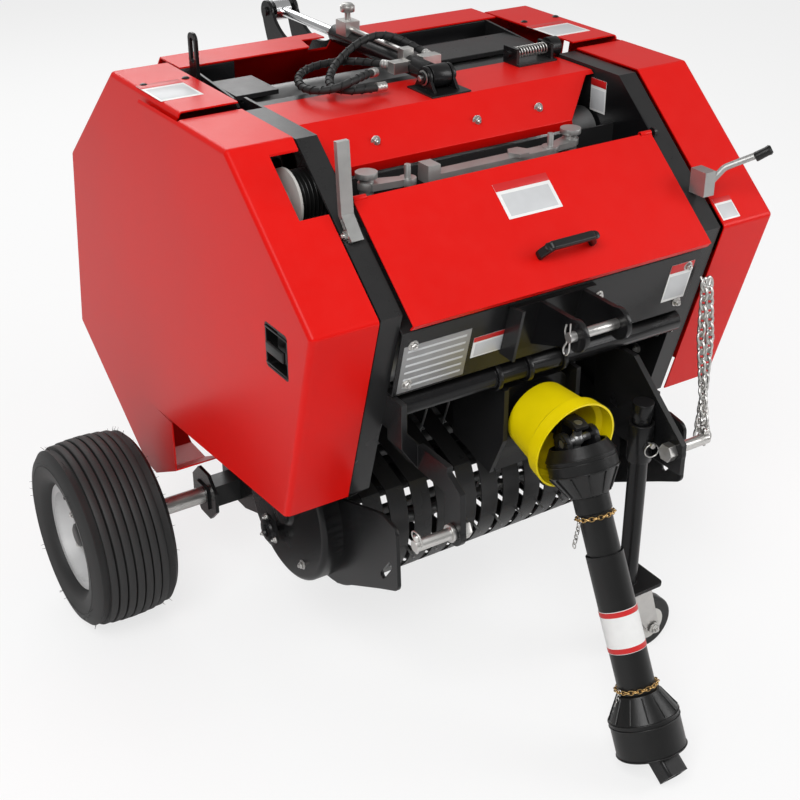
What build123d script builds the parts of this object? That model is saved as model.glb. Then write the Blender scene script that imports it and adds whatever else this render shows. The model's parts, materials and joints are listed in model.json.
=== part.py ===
from build123d import *
from math import atan2, cos, degrees, hypot, pi, radians, sin
import os

os.makedirs("parts", exist_ok=True)

# A small towed round baler. X runs across, -Y is the front, Z is up from the ground.
# Side profiles are drawn as (Y, Z) on planes across X.

# ---- running gear
AXLE_Y = 333.0
WHEEL_RADIUS = 203.0
TYRE_WIDTH = 186.0
TYRE_X = 659.0
RIM_FLANGE_RADIUS = 118.0
BEAD_RADIUS = 101.0
SPINDLE_RADIUS = 12.5
AXLE_BEAM_SIZE = 52.0

# ---- body
PLATE_INNER_X = 338.0
PLATE_THICKNESS = 6.0
PLATE_OUTER_X = PLATE_INNER_X + PLATE_THICKNESS
FLANGE_OUTER_X = 380.0
COVER_INNER_X = 386.0
COVER_OUTER_X = 515.0
REAR_COVER_OUTER_X = 505.0
SHEET = 3.0
GATE_PLATE_X = 352.0
GATE_PLATE_THICKNESS = 6.0

# ---- corners of the side profile
TOP_FRONT = (-92.0, 1142.0)
NOSE = (-370.0, 904.0)
FRONT_LOW = (-252.0, 502.0)
SEAM_LOW = (380.0, 451.0)
SEAM_HIGH = (269.0, 1140.0)
SEAM_TOP = (98.0, 1142.0)
REAR_TOP_FRONT = (112.0, 1152.0)
REAR_TOP = (423.0, 1152.0)
REAR_UPPER = (705.0, 911.0)
REAR_LOWER = (778.0, 479.0)
LEG_REAR = (463.0, 260.0)
LEG_FRONT = (275.0, 322.0)

# ---- bale chamber
CHAMBER = (205.0, 780.0)
ROLLER_PITCH_RADIUS = 300.0
ROLLER_RADIUS = 50.0
ROLLER_HALF_LENGTH = 332.0
ROLLER_SHAFT_RADIUS = 12.5
FRONT_ROLLER_ANGLES = (84, 108, 132, 156, 180, 204, 276)
REAR_ROLLER_ANGLES = (60, 36, 12, -12, -36, -60)

# ---- tailgate pivot and lift cylinder
GATE_PIVOT = (33.0, 1050.0)
CYLINDER_PIN = (42.0, 1157.0)
ROD_EYE = (671.0, 1157.0)

# ---- pickup
REEL = (-27.0, 345.0)
BAND_RADIUS = 178.0
BAND_WIDTH = 40.0
BAND_PITCH = 54.0
BAND_COUNT = 12
TINE_TIP_RADIUS = 198.0
PAN_RADIUS = 215.0

# ---- drive line
INPUT_JOINT = (-431.0, 590.0)
SHAFT_DROP = 63.3
JOINT_SPACING = 572.0
END_YOKE_DROP = 32.0

# ---- hitch and jack
LEFT_LINK_X = -298.0
RIGHT_LINK_X = 211.0
LINK_PIN = (-471.0, 518.0)
LINK_PIN_RADIUS = 11.0
TOP_LINK_PIN = (-467.0, 830.0)
TOP_LINK_PIN_RADIUS = 9.5
JACK_X = 180.0
JACK_Y = -409.0
CASTER_TRAIL = 57.0
CASTER_RADIUS = 60.0

SIDES = ((-1, "left"), (1, "right"))


def polar(center, radius, angle):
    """Return the (Y, Z) point at an angle in degrees around a center."""
    turn = radians(angle)
    return (center[0] + radius * cos(turn), center[1] + radius * sin(turn))


def along(start, end, distance):
    """Return the point at a distance from start towards end."""
    length = hypot(end[0] - start[0], end[1] - start[1])
    share = distance / length
    return (start[0] + share * (end[0] - start[0]), start[1] + share * (end[1] - start[1]))


def across(x):
    """Return the plane of side profiles at this X."""
    return Plane.YZ.offset(x)


# ======================================================================
# Frame
# ======================================================================
FRAME_TOP = (-92.0, 1137.0)
FRAME_NOSE = (-364.0, 903.0)
FRAME_LOW = (-247.0, 502.0)
FLANGE_THICKNESS = 5.0
PIVOT_PIN_RADIUS = 12.5
LID_TOP = (-199.0, 1052.0)
LID_BOTTOM = (-389.0, 890.0)
LID_HALF_WIDTH = 333.0
LID_KNUCKLE_RADIUS = 5.5
LID_KNUCKLE_LENGTH = 26.0
LID_PIN_RADIUS = 3.0
LID_EAR_RADIUS = 9.0
HINGE_BRACKET_HEIGHTS = (640.0, 860.0)
HINGE_AXIS_X = 505.0
HINGE_SETBACK = -3.0
SEAM_TILT = degrees(atan2(SEAM_LOW[0] - SEAM_HIGH[0], SEAM_HIGH[1] - SEAM_LOW[1]))

plate_outline = (
    (98.0, 1137.0),
    FRAME_TOP,
    FRAME_NOSE,
    FRAME_LOW,
    (-160.0, 430.0),
    (-140.0, 300.0),
    (60.0, 240.0),
    (285.0, 165.0),
    (395.0, 165.0),
    (395.0, 300.0),
    (300.0, 430.0),
    (290.0, 620.0),
    (270.0, 960.0),
    (270.0, 1104.0),
    (174.0, 1126.0),
    (174.0, 1137.0),
)


def seam_point(height):
    """Return the (Y, Z) point of the cover seam at a height."""
    share = (height - SEAM_LOW[1]) / (SEAM_HIGH[1] - SEAM_LOW[1])
    return (SEAM_LOW[0] + share * (SEAM_HIGH[0] - SEAM_LOW[0]), height)


for side, side_name in SIDES:
    with BuildPart() as side_plate:
        with BuildSketch(across(side * PLATE_INNER_X)):
            with BuildLine():
                Polyline(*plate_outline, close=True)
            make_face()
            with Locations((AXLE_Y, WHEEL_RADIUS)):
                Rectangle(AXLE_BEAM_SIZE, AXLE_BEAM_SIZE, mode=Mode.SUBTRACT)
        extrude(amount=side * PLATE_THICKNESS)
        # the folded front flange, flush with the covers
        with BuildSketch(across(side * PLATE_OUTER_X)):
            with BuildLine():
                Polyline(*plate_outline, close=True)
            make_face()
            with BuildLine():
                Polyline((98.0, 1137.0), FRAME_TOP, FRAME_NOSE, FRAME_LOW)
            trace(line_width=2 * FLANGE_THICKNESS, mode=Mode.INTERSECT)
        extrude(amount=side * (FLANGE_OUTER_X - PLATE_OUTER_X))
        # lid hinge pin on its ear
        with BuildSketch(across(side * PLATE_INNER_X)):
            with Locations(LID_TOP):
                Circle(LID_EAR_RADIUS)
        extrude(amount=side * PLATE_THICKNESS)
        with BuildSketch(across(side * PLATE_INNER_X)):
            with Locations(LID_TOP):
                Circle(LID_PIN_RADIUS)
        extrude(amount=-side * (PLATE_INNER_X - LID_HALF_WIDTH + LID_KNUCKLE_LENGTH - 4.0))
        # tailgate pivot pin
        with BuildSketch(across(side * PLATE_OUTER_X)):
            with Locations(GATE_PIVOT):
                Circle(PIVOT_PIN_RADIUS)
        extrude(amount=side * 22.0)
    side_plate.part.label = f"side_plate_{side_name}"
    export_step(side_plate.part, f"parts/side_plate_{side_name}.step")

# Hinge arms that carry the front covers, with their pins
with BuildPart() as cover_hinges:
    for side, side_name in SIDES:
        for height in HINGE_BRACKET_HEIGHTS:
            axis_y = seam_point(height)[0] - HINGE_SETBACK
            with Locations((side * (PLATE_OUTER_X + HINGE_AXIS_X) / 2, axis_y - 22.0, height)):
                Box(HINGE_AXIS_X - PLATE_OUTER_X, 40.0, 8.0)
            with Locations(
                Location((side * HINGE_AXIS_X, axis_y, height), (SEAM_TILT, 0, 0)),
            ):
                Cylinder(radius=5.5, height=26.0)
                Cylinder(radius=3.0, height=80.0)
cover_hinges.part.label = "cover_hinges"
export_step(cover_hinges.part, "parts/cover_hinges.step")

# ---- hood over the front rollers
HOOD_REAR = (123.0, 1130.0)
HOOD_CREASE = (-12.0, 1130.0)
HOOD_FRONT = (-88.0, 1065.0)
HOOD_HALF_WIDTH = 335.0

with BuildPart() as hood:
    with BuildSketch(across(-HOOD_HALF_WIDTH)):
        with BuildLine():
            Polyline((123.0, 1119.0), HOOD_REAR, HOOD_CREASE, HOOD_FRONT, (-80.0, 1045.0))
        trace(line_width=SHEET)
    extrude(amount=2 * HOOD_HALF_WIDTH)
    # the right end is cut back to open the twine roll's side
    with BuildSketch(Plane.XY.offset(1000.0)):
        with BuildLine():
            Polyline((322.0, -14.0), (340.0, -14.0), (340.0, -120.0), (190.0, -120.0), close=True)
        make_face()
    extrude(amount=124.0, mode=Mode.SUBTRACT)
hood.part.label = "hood"
export_step(hood.part, "parts/hood.step")

# ---- twine trough between the hood and the lid
with BuildPart() as twine_trough:
    with BuildSketch(across(-PLATE_INNER_X)):
        with BuildLine():
            Polyline(
                (-84.0, 1040.0),
                (-84.0, 985.0),
                (-178.0, 985.0),
                (-330.0, 868.0),
            )
        trace(line_width=4.0)
    extrude(amount=2 * PLATE_INNER_X)
twine_trough.part.label = "twine_trough"
export_step(twine_trough.part, "parts/twine_trough.step")

# ---- front panel below the lid
with BuildPart() as front_panel:
    with BuildSketch(across(-PLATE_INNER_X)):
        with BuildLine():
            Polyline((-340.0, 878.0), (-362.0, 866.0), (-327.0, 732.0), (-300.0, 732.0))
        trace(line_width=4.0)
    extrude(amount=2 * PLATE_INNER_X)

# ---- top beam in the recess between hood and tailgate
with BuildPart() as recess_beam:
    with BuildSketch(across(-PLATE_INNER_X)):
        with BuildLine():
            Polyline((127.0, 1127.0), (155.0, 1127.0), (155.0, 1119.0))
        trace(line_width=4.0)
    extrude(amount=2 * PLATE_INNER_X)

with BuildPart() as cross_panels:
    add(front_panel.part)
    add(recess_beam.part)
cross_panels.part.label = "cross_panels"
export_step(cross_panels.part, "parts/cross_panels.step")

# ---- front rollers
with BuildPart() as front_rollers:
    for angle in FRONT_ROLLER_ANGLES:
        with BuildSketch(across(-ROLLER_HALF_LENGTH)):
            with Locations(polar(CHAMBER, ROLLER_PITCH_RADIUS, angle)):
                Circle(ROLLER_RADIUS)
        extrude(amount=2 * ROLLER_HALF_LENGTH)
        with BuildSketch(across(-PLATE_INNER_X)):
            with Locations(polar(CHAMBER, ROLLER_PITCH_RADIUS, angle)):
                Circle(ROLLER_SHAFT_RADIUS)
        extrude(amount=2 * PLATE_INNER_X)
front_rollers.part.label = "front_rollers"
export_step(front_rollers.part, "parts/front_rollers.step")

# ---- drive cross tube
DRIVE_TUBE = (-307.0, 697.0)
with BuildPart() as drive_tube:
    with BuildSketch(across(-PLATE_INNER_X + 12.0)):
        with Locations(DRIVE_TUBE):
            Circle(21.0)
    extrude(amount=2 * PLATE_INNER_X - 12.0)
    for collar_x in (-110.0, -40.0, 40.0):
        with BuildSketch(across(collar_x)):
            with Locations(DRIVE_TUBE):
                Circle(29.0)
        extrude(amount=10.0)
drive_tube.part.label = "drive_tube"
export_step(drive_tube.part, "parts/drive_tube.step")

# ---- gearbox, its beam and hanger plates
GEARBOX_BACK = -155.0
GEARBOX_FRONT = -300.0
BEAM = (-262.0, 500.0)
with BuildPart() as gearbox:
    with BuildSketch(Plane.XZ.offset(-GEARBOX_BACK)):
        with Locations((0.0, INPUT_JOINT[1])):
            RectangleRounded(150.0, 130.0, 18.0)
    extrude(amount=GEARBOX_BACK - GEARBOX_FRONT)
    with BuildSketch(Plane.XZ.offset(-GEARBOX_FRONT)):
        with Locations((0.0, INPUT_JOINT[1])):
            Circle(48.0)
    extrude(amount=30.0)
gearbox.part.label = "gearbox"
export_step(gearbox.part, "parts/gearbox.step")

with BuildPart() as gearbox_beam:
    with BuildSketch(across(-80.0)):
        with Locations(BEAM):
            Rectangle(56.0, 50.0)
            Rectangle(46.0, 40.0, mode=Mode.SUBTRACT)
    extrude(amount=80.0 + PLATE_INNER_X)
    for hanger_x in (-90.0, 80.0):
        with BuildSketch(across(hanger_x)):
            with BuildLine():
                Polyline(
                    (-285.0, 470.0),
                    (-160.0, 500.0),
                    (-160.0, 640.0),
                    (-290.0, 668.0),
                    (-325.0, 668.0),
                    (-325.0, 560.0),
                    close=True,
                )
            make_face()
        extrude(amount=10.0)
gearbox_beam.part.label = "gearbox_beam"
export_step(gearbox_beam.part, "parts/gearbox_beam.step")

# ---- input yoke: on the gearbox shaft, ears above and below the joint
YOKE_EAR_RADIUS = 20.0
CROSS_ARM_RADIUS = 8.0
with BuildPart() as input_yoke:
    with BuildSketch(Plane.XZ.offset(-GEARBOX_FRONT + 30.0)):
        with Locations((0.0, INPUT_JOINT[1])):
            Circle(17.0)
    extrude(amount=54.0)
    with BuildSketch(across(-14.0)):
        with BuildLine():
            Polyline(
                (-378.0, INPUT_JOINT[1] - 20.0),
                (-390.0, INPUT_JOINT[1] - 24.0),
                (-404.0, INPUT_JOINT[1] - 38.0),
                (-431.0, INPUT_JOINT[1] - 38.0),
                (-445.0, INPUT_JOINT[1] - 32.0),
                (-445.0, INPUT_JOINT[1] - 25.0),
                (-402.0, INPUT_JOINT[1] - 25.0),
                (-402.0, INPUT_JOINT[1] + 25.0),
                (-445.0, INPUT_JOINT[1] + 25.0),
                (-445.0, INPUT_JOINT[1] + 32.0),
                (-431.0, INPUT_JOINT[1] + 38.0),
                (-404.0, INPUT_JOINT[1] + 38.0),
                (-390.0, INPUT_JOINT[1] + 24.0),
                (-378.0, INPUT_JOINT[1] + 20.0),
                close=True,
            )
        make_face()
    extrude(amount=28.0)
    with BuildSketch(Plane.XY.offset(INPUT_JOINT[1] - 50.0)):
        with Locations((0.0, INPUT_JOINT[0])):
            Circle(CROSS_ARM_RADIUS + 0.4)
    extrude(amount=100.0, mode=Mode.SUBTRACT)
input_yoke.part.label = "input_yoke"
export_step(input_yoke.part, "parts/input_yoke.step")

# ---- yellow guard over the input shaft, tipped down a little to the front
GUARD_BACK_CENTER = (0.0, -300.0, 590.0)
GUARD_MOUTH_CENTER = (0.0, -428.0, 574.0)
guard_axis = Axis(GUARD_BACK_CENTER, Vector(*GUARD_MOUTH_CENTER) - Vector(*GUARD_BACK_CENTER))
guard_plane = Plane(
    origin=GUARD_BACK_CENTER,
    x_dir=guard_axis.direction,
    z_dir=(1.0, 0.0, 0.0),
)
with BuildPart() as pto_guard:
    # section in (distance along the guard, radius)
    with BuildSketch(guard_plane):
        with BuildLine():
            Polyline(
                (12.0, 53.0),
                (12.0, 69.0),
                (93.0, 79.0),
                (101.0, 88.0),
                (129.0, 91.0),
                (129.0, 87.0),
                (103.0, 84.0),
                (95.0, 75.0),
                (16.0, 65.0),
                (16.0, 53.0),
                close=True,
            )
        make_face()
    revolve(axis=guard_axis)
pto_guard.part.label = "pto_guard"
export_step(pto_guard.part, "parts/pto_guard.step")

# ---- axle beam with end plates, and the stub axles
with BuildPart() as axle_beam:
    with BuildSketch(across(-425.0)):
        with Locations((AXLE_Y, WHEEL_RADIUS)):
            Rectangle(AXLE_BEAM_SIZE, AXLE_BEAM_SIZE)
            Circle(19.0, mode=Mode.SUBTRACT)
    extrude(amount=850.0)
    with BuildSketch(across(-PLATE_INNER_X)):
        with Locations((AXLE_Y, WHEEL_RADIUS)):
            Rectangle(44.0, 44.0)
    extrude(amount=2 * PLATE_INNER_X, mode=Mode.SUBTRACT)
    for side, side_name in SIDES:
        with BuildSketch(across(side * 412.0)):
            with Locations((AXLE_Y, WHEEL_RADIUS + 4.0)):
                RegularPolygon(62.0, 8, rotation=22.5)
                Rectangle(AXLE_BEAM_SIZE - 1.0, AXLE_BEAM_SIZE - 1.0, mode=Mode.SUBTRACT)
        extrude(amount=side * 8.0)
axle_beam.part.label = "axle_beam"
export_step(axle_beam.part, "parts/axle_beam.step")

with BuildPart() as stub_axles:
    for side, side_name in SIDES:
        with BuildSketch(across(side * (PLATE_OUTER_X + 6.0))):
            with Locations((AXLE_Y, WHEEL_RADIUS)):
                Circle(19.0)
        extrude(amount=side * (590.0 - PLATE_OUTER_X - 6.0))
        with BuildSketch(across(side * 590.0)):
            with Locations((AXLE_Y, WHEEL_RADIUS)):
                Circle(SPINDLE_RADIUS)
        extrude(amount=side * 118.0)
stub_axles.part.label = "stub_axles"
export_step(stub_axles.part, "parts/stub_axles.step")

# ---- pickup stripper bands: an arc round the reel and a ramp up to the chamber
RAMP_FOOT = polar(REEL, BAND_RADIUS, 150)
RAMP_TOP = (95.0, 535.0)
BAND_SHEET = 3.0
BAND_ROD_RADIUS = 7.0
LOWER_ROD = (92.0, REEL[1] - BAND_RADIUS)
ramp_length = hypot(RAMP_TOP[0] - RAMP_FOOT[0], RAMP_TOP[1] - RAMP_FOOT[1])
ramp_end = along(RAMP_FOOT, RAMP_TOP, ramp_length - BAND_ROD_RADIUS)
band_bottom = polar(REEL, BAND_RADIUS, 270)
band_front = polar(REEL, BAND_RADIUS, 210)
band_xs = [(index - BAND_COUNT / 2 + 0.5) * BAND_PITCH for index in range(BAND_COUNT)]
with BuildPart() as pickup_bands:
    for band_x in band_xs:
        with BuildSketch(across(band_x - BAND_WIDTH / 2)):
            with BuildLine():
                Line((LOWER_ROD[0] - BAND_ROD_RADIUS, LOWER_ROD[1]), band_bottom)
                ThreePointArc(band_bottom, band_front, RAMP_FOOT)
                Line(RAMP_FOOT, ramp_end)
            trace(line_width=BAND_SHEET)
        extrude(amount=BAND_WIDTH)
pickup_bands.part.label = "pickup_bands"
export_step(pickup_bands.part, "parts/pickup_bands.step")

with BuildPart() as pickup_rods:
    for rod_center in (LOWER_ROD, RAMP_TOP):
        with BuildSketch(across(-PLATE_INNER_X)):
            with Locations(rod_center):
                Circle(BAND_ROD_RADIUS)
        extrude(amount=2 * PLATE_INNER_X)

# ---- curved pan behind the reel
with BuildPart() as pickup_pan:
    with BuildSketch(across(-PLATE_INNER_X)):
        with BuildLine():
            ThreePointArc(polar(REEL, PAN_RADIUS, -38), polar(REEL, PAN_RADIUS, 10), polar(REEL, PAN_RADIUS, 55))
        trace(line_width=BAND_SHEET)
    extrude(amount=2 * PLATE_INNER_X)

# ---- pickup side plates with rounded noses, bolted on the frame plates
PICKUP_PLATE_X = PLATE_OUTER_X + 2.0
PICKUP_PLATE_THICKNESS = 6.0
NOSE_SLOTS = ((-353.0, 388.0), (-321.0, 343.0))
slot_turn = degrees(atan2(NOSE_SLOTS[1][1] - NOSE_SLOTS[0][1], NOSE_SLOTS[1][0] - NOSE_SLOTS[0][0]))
with BuildPart() as pickup_sides:
    for side, side_name in SIDES:
        with BuildSketch(across(side * PLATE_OUTER_X)):
            with BuildLine():
                FilletPolyline(
                    (60.0, 433.0),
                    (-154.0, 433.0),
                    (-310.0, 484.0),
                    (-362.0, 476.0),
                    (-368.0, 345.0),
                    (-304.0, 312.0),
                    (-142.0, 224.0),
                    (60.0, 200.0),
                    radius=20.0,
                    close=True,
                )
            make_face()
            with Locations(((NOSE_SLOTS[0][0] + NOSE_SLOTS[1][0]) / 2 + 10.0, 368.0)):
                SlotOverall(58.0, 14.0, rotation=slot_turn, mode=Mode.SUBTRACT)
        extrude(amount=side * (PICKUP_PLATE_X + PICKUP_PLATE_THICKNESS - PLATE_OUTER_X))

with BuildPart() as pickup_frame:
    add(pickup_sides.part)
    add(pickup_rods.part)
    add(pickup_pan.part)
pickup_frame.part.label = "pickup_frame"
export_step(pickup_frame.part, "parts/pickup_frame.step")

# ---- round cover of the pickup drive, on the left
with BuildPart() as pickup_drive_cover:
    with BuildSketch(across(-PICKUP_PLATE_X - PICKUP_PLATE_THICKNESS)):
        with Locations((-10.0, 352.0)):
            Circle(160.0)
    extrude(amount=-44.0)
    with BuildSketch(across(-PICKUP_PLATE_X - PICKUP_PLATE_THICKNESS - 44.0)):
        with Locations((-10.0, 352.0)):
            Circle(34.0)
    extrude(amount=-12.0)
    fillet(pickup_drive_cover.edges().filter_by(GeomType.CIRCLE).group_by(Axis.X)[1], 10.0)
pickup_drive_cover.part.label = "pickup_drive_cover"
export_step(pickup_drive_cover.part, "parts/pickup_drive_cover.step")

# ---- top link bracket and the hitch pins
with BuildPart() as top_link_bracket:
    with BuildSketch(across(-115.0)):
        with BuildLine():
            Line((-341.3, 760.5), (-367.0, 860.5))
        trace(line_width=8.0)
    extrude(amount=190.0)
    for ear_x in (-47.0, 47.0):
        with BuildSketch(across(ear_x - 5.0)):
            with BuildLine():
                Polyline((-343.0, 764.0), (-368.0, 858.0), (-455.0, 858.0), (-455.0, 802.0), close=True)
            make_face()
            with Locations(TOP_LINK_PIN):
                Circle(30.0)
                Circle(TOP_LINK_PIN_RADIUS, mode=Mode.SUBTRACT)
        extrude(amount=10.0)
    with BuildSketch(across(-118.0)):
        with BuildLine():
            Polyline((-341.0, 762.0), (-367.0, 862.0), (-405.0, 868.0), (-380.0, 760.0), close=True)
        make_face()
    extrude(amount=6.0)
top_link_bracket.part.label = "top_link_bracket"
export_step(top_link_bracket.part, "parts/top_link_bracket.step")

with BuildPart() as hitch_pins:
    with BuildSketch(across(-66.0)):
        with Locations(TOP_LINK_PIN):
            Circle(TOP_LINK_PIN_RADIUS)
    extrude(amount=132.0)
    for link_x, side in ((LEFT_LINK_X, -1), (RIGHT_LINK_X, 1)):
        with BuildSketch(across(link_x - side * 24.0)):
            with Locations(LINK_PIN):
                RegularPolygon(19.0, 6)
        extrude(amount=side * 18.0)
        with BuildSketch(across(link_x - side * 12.0)):
            with Locations(LINK_PIN):
                Circle(LINK_PIN_RADIUS)
        extrude(amount=side * 98.0)
        with BuildSketch(across(link_x + side * 6.0)):
            with Locations(LINK_PIN):
                Circle(17.0)
        extrude(amount=side * 8.0)
hitch_pins.part.label = "hitch_pins"
export_step(hitch_pins.part, "parts/hitch_pins.step")

# ---- left lower link arm: a flat bar with a joggle
with BuildPart() as lower_link_left:
    with BuildSketch(across(LEFT_LINK_X - 6.0)):
        with BuildLine():
            Polyline((-360.0, 640.0), (-360.0, 590.0), (-452.0, 585.0), (-452.0, 640.0), close=True)
        make_face()
        with BuildLine():
            Polyline((-440.0, 634.0), (-492.0, 604.0), (-496.0, 518.0), (-446.0, 518.0), close=True)
        make_face()
        with Locations(LINK_PIN):
            Circle(26.0)
            Circle(LINK_PIN_RADIUS, mode=Mode.SUBTRACT)
    extrude(amount=12.0)
    with BuildSketch(Plane.XZ.offset(360.0)):
        with BuildLine():
            Polyline(
                (-PLATE_INNER_X, 728.0),
                (-PLATE_INNER_X, 640.0),
                (LEFT_LINK_X - 6.0, 590.0),
                (LEFT_LINK_X + 6.0, 590.0),
                (LEFT_LINK_X + 6.0, 630.0),
                (-PLATE_INNER_X + 12.0, 670.0),
                (-PLATE_INNER_X + 12.0, 728.0),
                close=True,
            )
        make_face()
    extrude(amount=-48.0)
    with Locations((-PLATE_INNER_X + 6.0, -312.0, 694.0)):
        Box(12.0, 90.0, 68.0)

# ---- right lower link plate with the jack's web
with BuildPart() as lower_link_right:
    with BuildSketch(across(RIGHT_LINK_X - 6.0)):
        with BuildLine():
            Polyline(
                (-234.0, 476.0),
                (-234.0, 640.0),
                (-310.0, 668.0),
                (-345.0, 668.0),
                (-498.0, 540.0),
                (-498.0, 476.0),
                close=True,
            )
        make_face()
        with Locations(BEAM):
            Rectangle(56.0, 50.0, mode=Mode.SUBTRACT)
        with Locations(LINK_PIN):
            Circle(28.0)
            Circle(LINK_PIN_RADIUS, mode=Mode.SUBTRACT)
    extrude(amount=12.0)

# ---- jack sleeve
JACK_TUBE_RADIUS = 19.0
with BuildPart() as jack_sleeve:
    with BuildSketch(Plane.XY.offset(478.0)):
        with Locations((JACK_X, JACK_Y)):
            Circle(25.0)
            Circle(JACK_TUBE_RADIUS + 0.7, mode=Mode.SUBTRACT)
    extrude(amount=82.0)

with BuildPart() as lower_links:
    add(lower_link_left.part)
    add(lower_link_right.part)
    add(jack_sleeve.part)
lower_links.part.label = "lower_links"
export_step(lower_links.part, "parts/lower_links.step")

# ---- twine arms, rail and clamp in the trough
RAIL_START_X = -163.0
RAIL_END_X = 117.0
RAIL_Y = -167.0
TROUGH_FLOOR_Z = 987.0
with BuildPart() as twine_gear:
    # angle-section rail on two feet
    with BuildSketch(across(RAIL_START_X)):
        with Locations((RAIL_Y, 1036.0)):
            Rectangle(5.0, 28.0)
        with Locations((RAIL_Y + 12.0, 1047.5)):
            Rectangle(28.0, 5.0)
    extrude(amount=RAIL_END_X - RAIL_START_X)
    for foot_x in (RAIL_START_X + 26.0, RAIL_END_X - 26.0):
        with Locations((foot_x, RAIL_Y + 5.0, (TROUGH_FLOOR_Z + 1030.0) / 2)):
            Box(16.0, 10.0, 1030.0 - TROUGH_FLOOR_Z)
    # cast arm, roller and cap at each end of the trough
    for pivot_x, reach in ((-268.0, 74.0), (186.0, -62.0)):
        with Locations((pivot_x, -138.0, (TROUGH_FLOOR_Z + 1062.0) / 2)):
            Cylinder(radius=13.0, height=1062.0 - TROUGH_FLOOR_Z)
        with Locations((pivot_x, -138.0, 1066.0)):
            Cylinder(radius=20.0, height=10.0)
        with BuildSketch(Plane.XY.offset(1040.0)):
            with BuildLine():
                Polyline(
                    (pivot_x, -122.0),
                    (pivot_x + reach, -146.0),
                    (pivot_x + reach, -166.0),
                    (pivot_x, -158.0),
                    close=True,
                )
            make_face()
            with Locations((pivot_x, -138.0), (pivot_x + reach, -156.0)):
                Circle(16.0)
        extrude(amount=12.0)
        with Locations((pivot_x + reach, -156.0, 1054.0)):
            Cylinder(radius=6.0, height=44.0)
    # clamp on the rail and the hexagon plate beside it
    with Locations((-150.0, RAIL_Y + 8.0, 1054.0)):
        Box(26.0, 34.0, 34.0)
    with BuildSketch(Plane.XY.offset(1050.0)):
        with Locations((47.0, RAIL_Y + 8.0)):
            RegularPolygon(22.0, 6)
    extrude(amount=7.0)
twine_gear.part.label = "twine_gear"
export_step(twine_gear.part, "parts/twine_gear.step")

# ---- twine tension lever, a flat bar on the left flange
LEVER_X = 362.0
with BuildPart() as twine_lever:
    with BuildSketch(across(-LEVER_X)):
        with BuildLine():
            Polyline(
                (-264.0, 1006.0),
                (-232.0, 1042.0),
                (-222.0, 1166.0),
                (-212.0, 1166.0),
                (-220.0, 1040.0),
                (-254.0, 1000.0),
                close=True,
            )
        make_face()
        with Locations((-240.0, 1026.0)):
            SlotOverall(30.0, 8.0, rotation=48, mode=Mode.SUBTRACT)
    extrude(amount=12.0, both=True)

# ---- gate latch lever on the right flange
with BuildPart() as latch_lever:
    with Locations((FLANGE_OUTER_X - 18.0, -322.0, 985.0)):
        Box(26.0, 40.0, 48.0)
    with BuildLine():
        FilletPolyline(
            (FLANGE_OUTER_X - 20.0, -320.0, 960.0),
            (FLANGE_OUTER_X + 20.0, -338.0, 1010.0),
            (FLANGE_OUTER_X + 80.0, -385.0, 1045.0),
            radius=30.0,
        )
    with BuildSketch(Plane(origin=(FLANGE_OUTER_X - 20.0, -320.0, 960.0), z_dir=(40.0, -18.0, 50.0))):
        Circle(6.5)
    sweep()

with BuildPart() as side_levers:
    add(twine_lever.part)
    add(latch_lever.part)
side_levers.part.label = "side_levers"
export_step(side_levers.part, "parts/side_levers.step")

# ---- twine drum behind the notch of the left cover
DRUM = (-93.0, 1033.0)
with BuildPart() as twine_drum:
    with BuildSketch(across(-PLATE_OUTER_X)):
        with Locations(DRUM):
            Circle(48.0)
    extrude(amount=-56.0)
twine_drum.part.label = "twine_drum"
export_step(twine_drum.part, "parts/twine_drum.step")

with BuildPart() as drum_disc:
    with BuildSketch(across(-PLATE_OUTER_X - 56.0)):
        with Locations(DRUM):
            Circle(56.0)
            Circle(9.0, mode=Mode.SUBTRACT)
    extrude(amount=-5.0)
drum_disc.part.label = "drum_disc"
export_step(drum_disc.part, "parts/drum_disc.step")

# ---- cylinder clevis on the hood
CLEVIS_HALF_GAP = 23.0
CLEVIS_PIN_RADIUS = 12.0
with BuildPart() as cylinder_clevis:
    with Locations((0.0, 34.0, 1133.2)):
        Box(88.0, 88.0, 3.2)
    for side, side_name in SIDES:
        with BuildSketch(across(side * CLEVIS_HALF_GAP)):
            with BuildLine():
                Polyline((6.0, 1134.0), (24.0, 1157.0), (60.0, 1157.0), (76.0, 1134.0), close=True)
            make_face()
            with Locations(CYLINDER_PIN):
                Circle(21.0)
        extrude(amount=side * 6.0)
    with BuildSketch(across(-37.0)):
        with Locations(CYLINDER_PIN):
            Circle(CLEVIS_PIN_RADIUS)
    extrude(amount=74.0)

# ---- spring latch at the right end of the hood's rear edge
SPRING_TUBE = (104.0, 1153.0)
with BuildPart() as spring_latch:
    # open bracket: a foot and two end plates
    with Locations((268.0, 98.0, 1133.6)):
        Box(96.0, 48.0, 4.0)
    for plate_x in (222.0, 308.0):
        with Locations((plate_x, 104.0, 1149.0)):
            Box(6.0, 46.0, 34.0)
    with BuildSketch(across(212.0)):
        with Locations(SPRING_TUBE):
            Circle(6.0)
    extrude(amount=100.0)
    with BuildSketch(across(311.0)):
        with Locations(SPRING_TUBE):
            Circle(20.0)
            Circle(15.0, mode=Mode.SUBTRACT)
    extrude(amount=24.0)
    with BuildSketch(across(311.0)):
        with Locations(SPRING_TUBE):
            Circle(18.0)
    extrude(amount=5.0)

with BuildPart() as hood_brackets:
    add(cylinder_clevis.part)
    add(spring_latch.part)
hood_brackets.part.label = "hood_brackets"
export_step(hood_brackets.part, "parts/hood_brackets.step")

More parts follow.
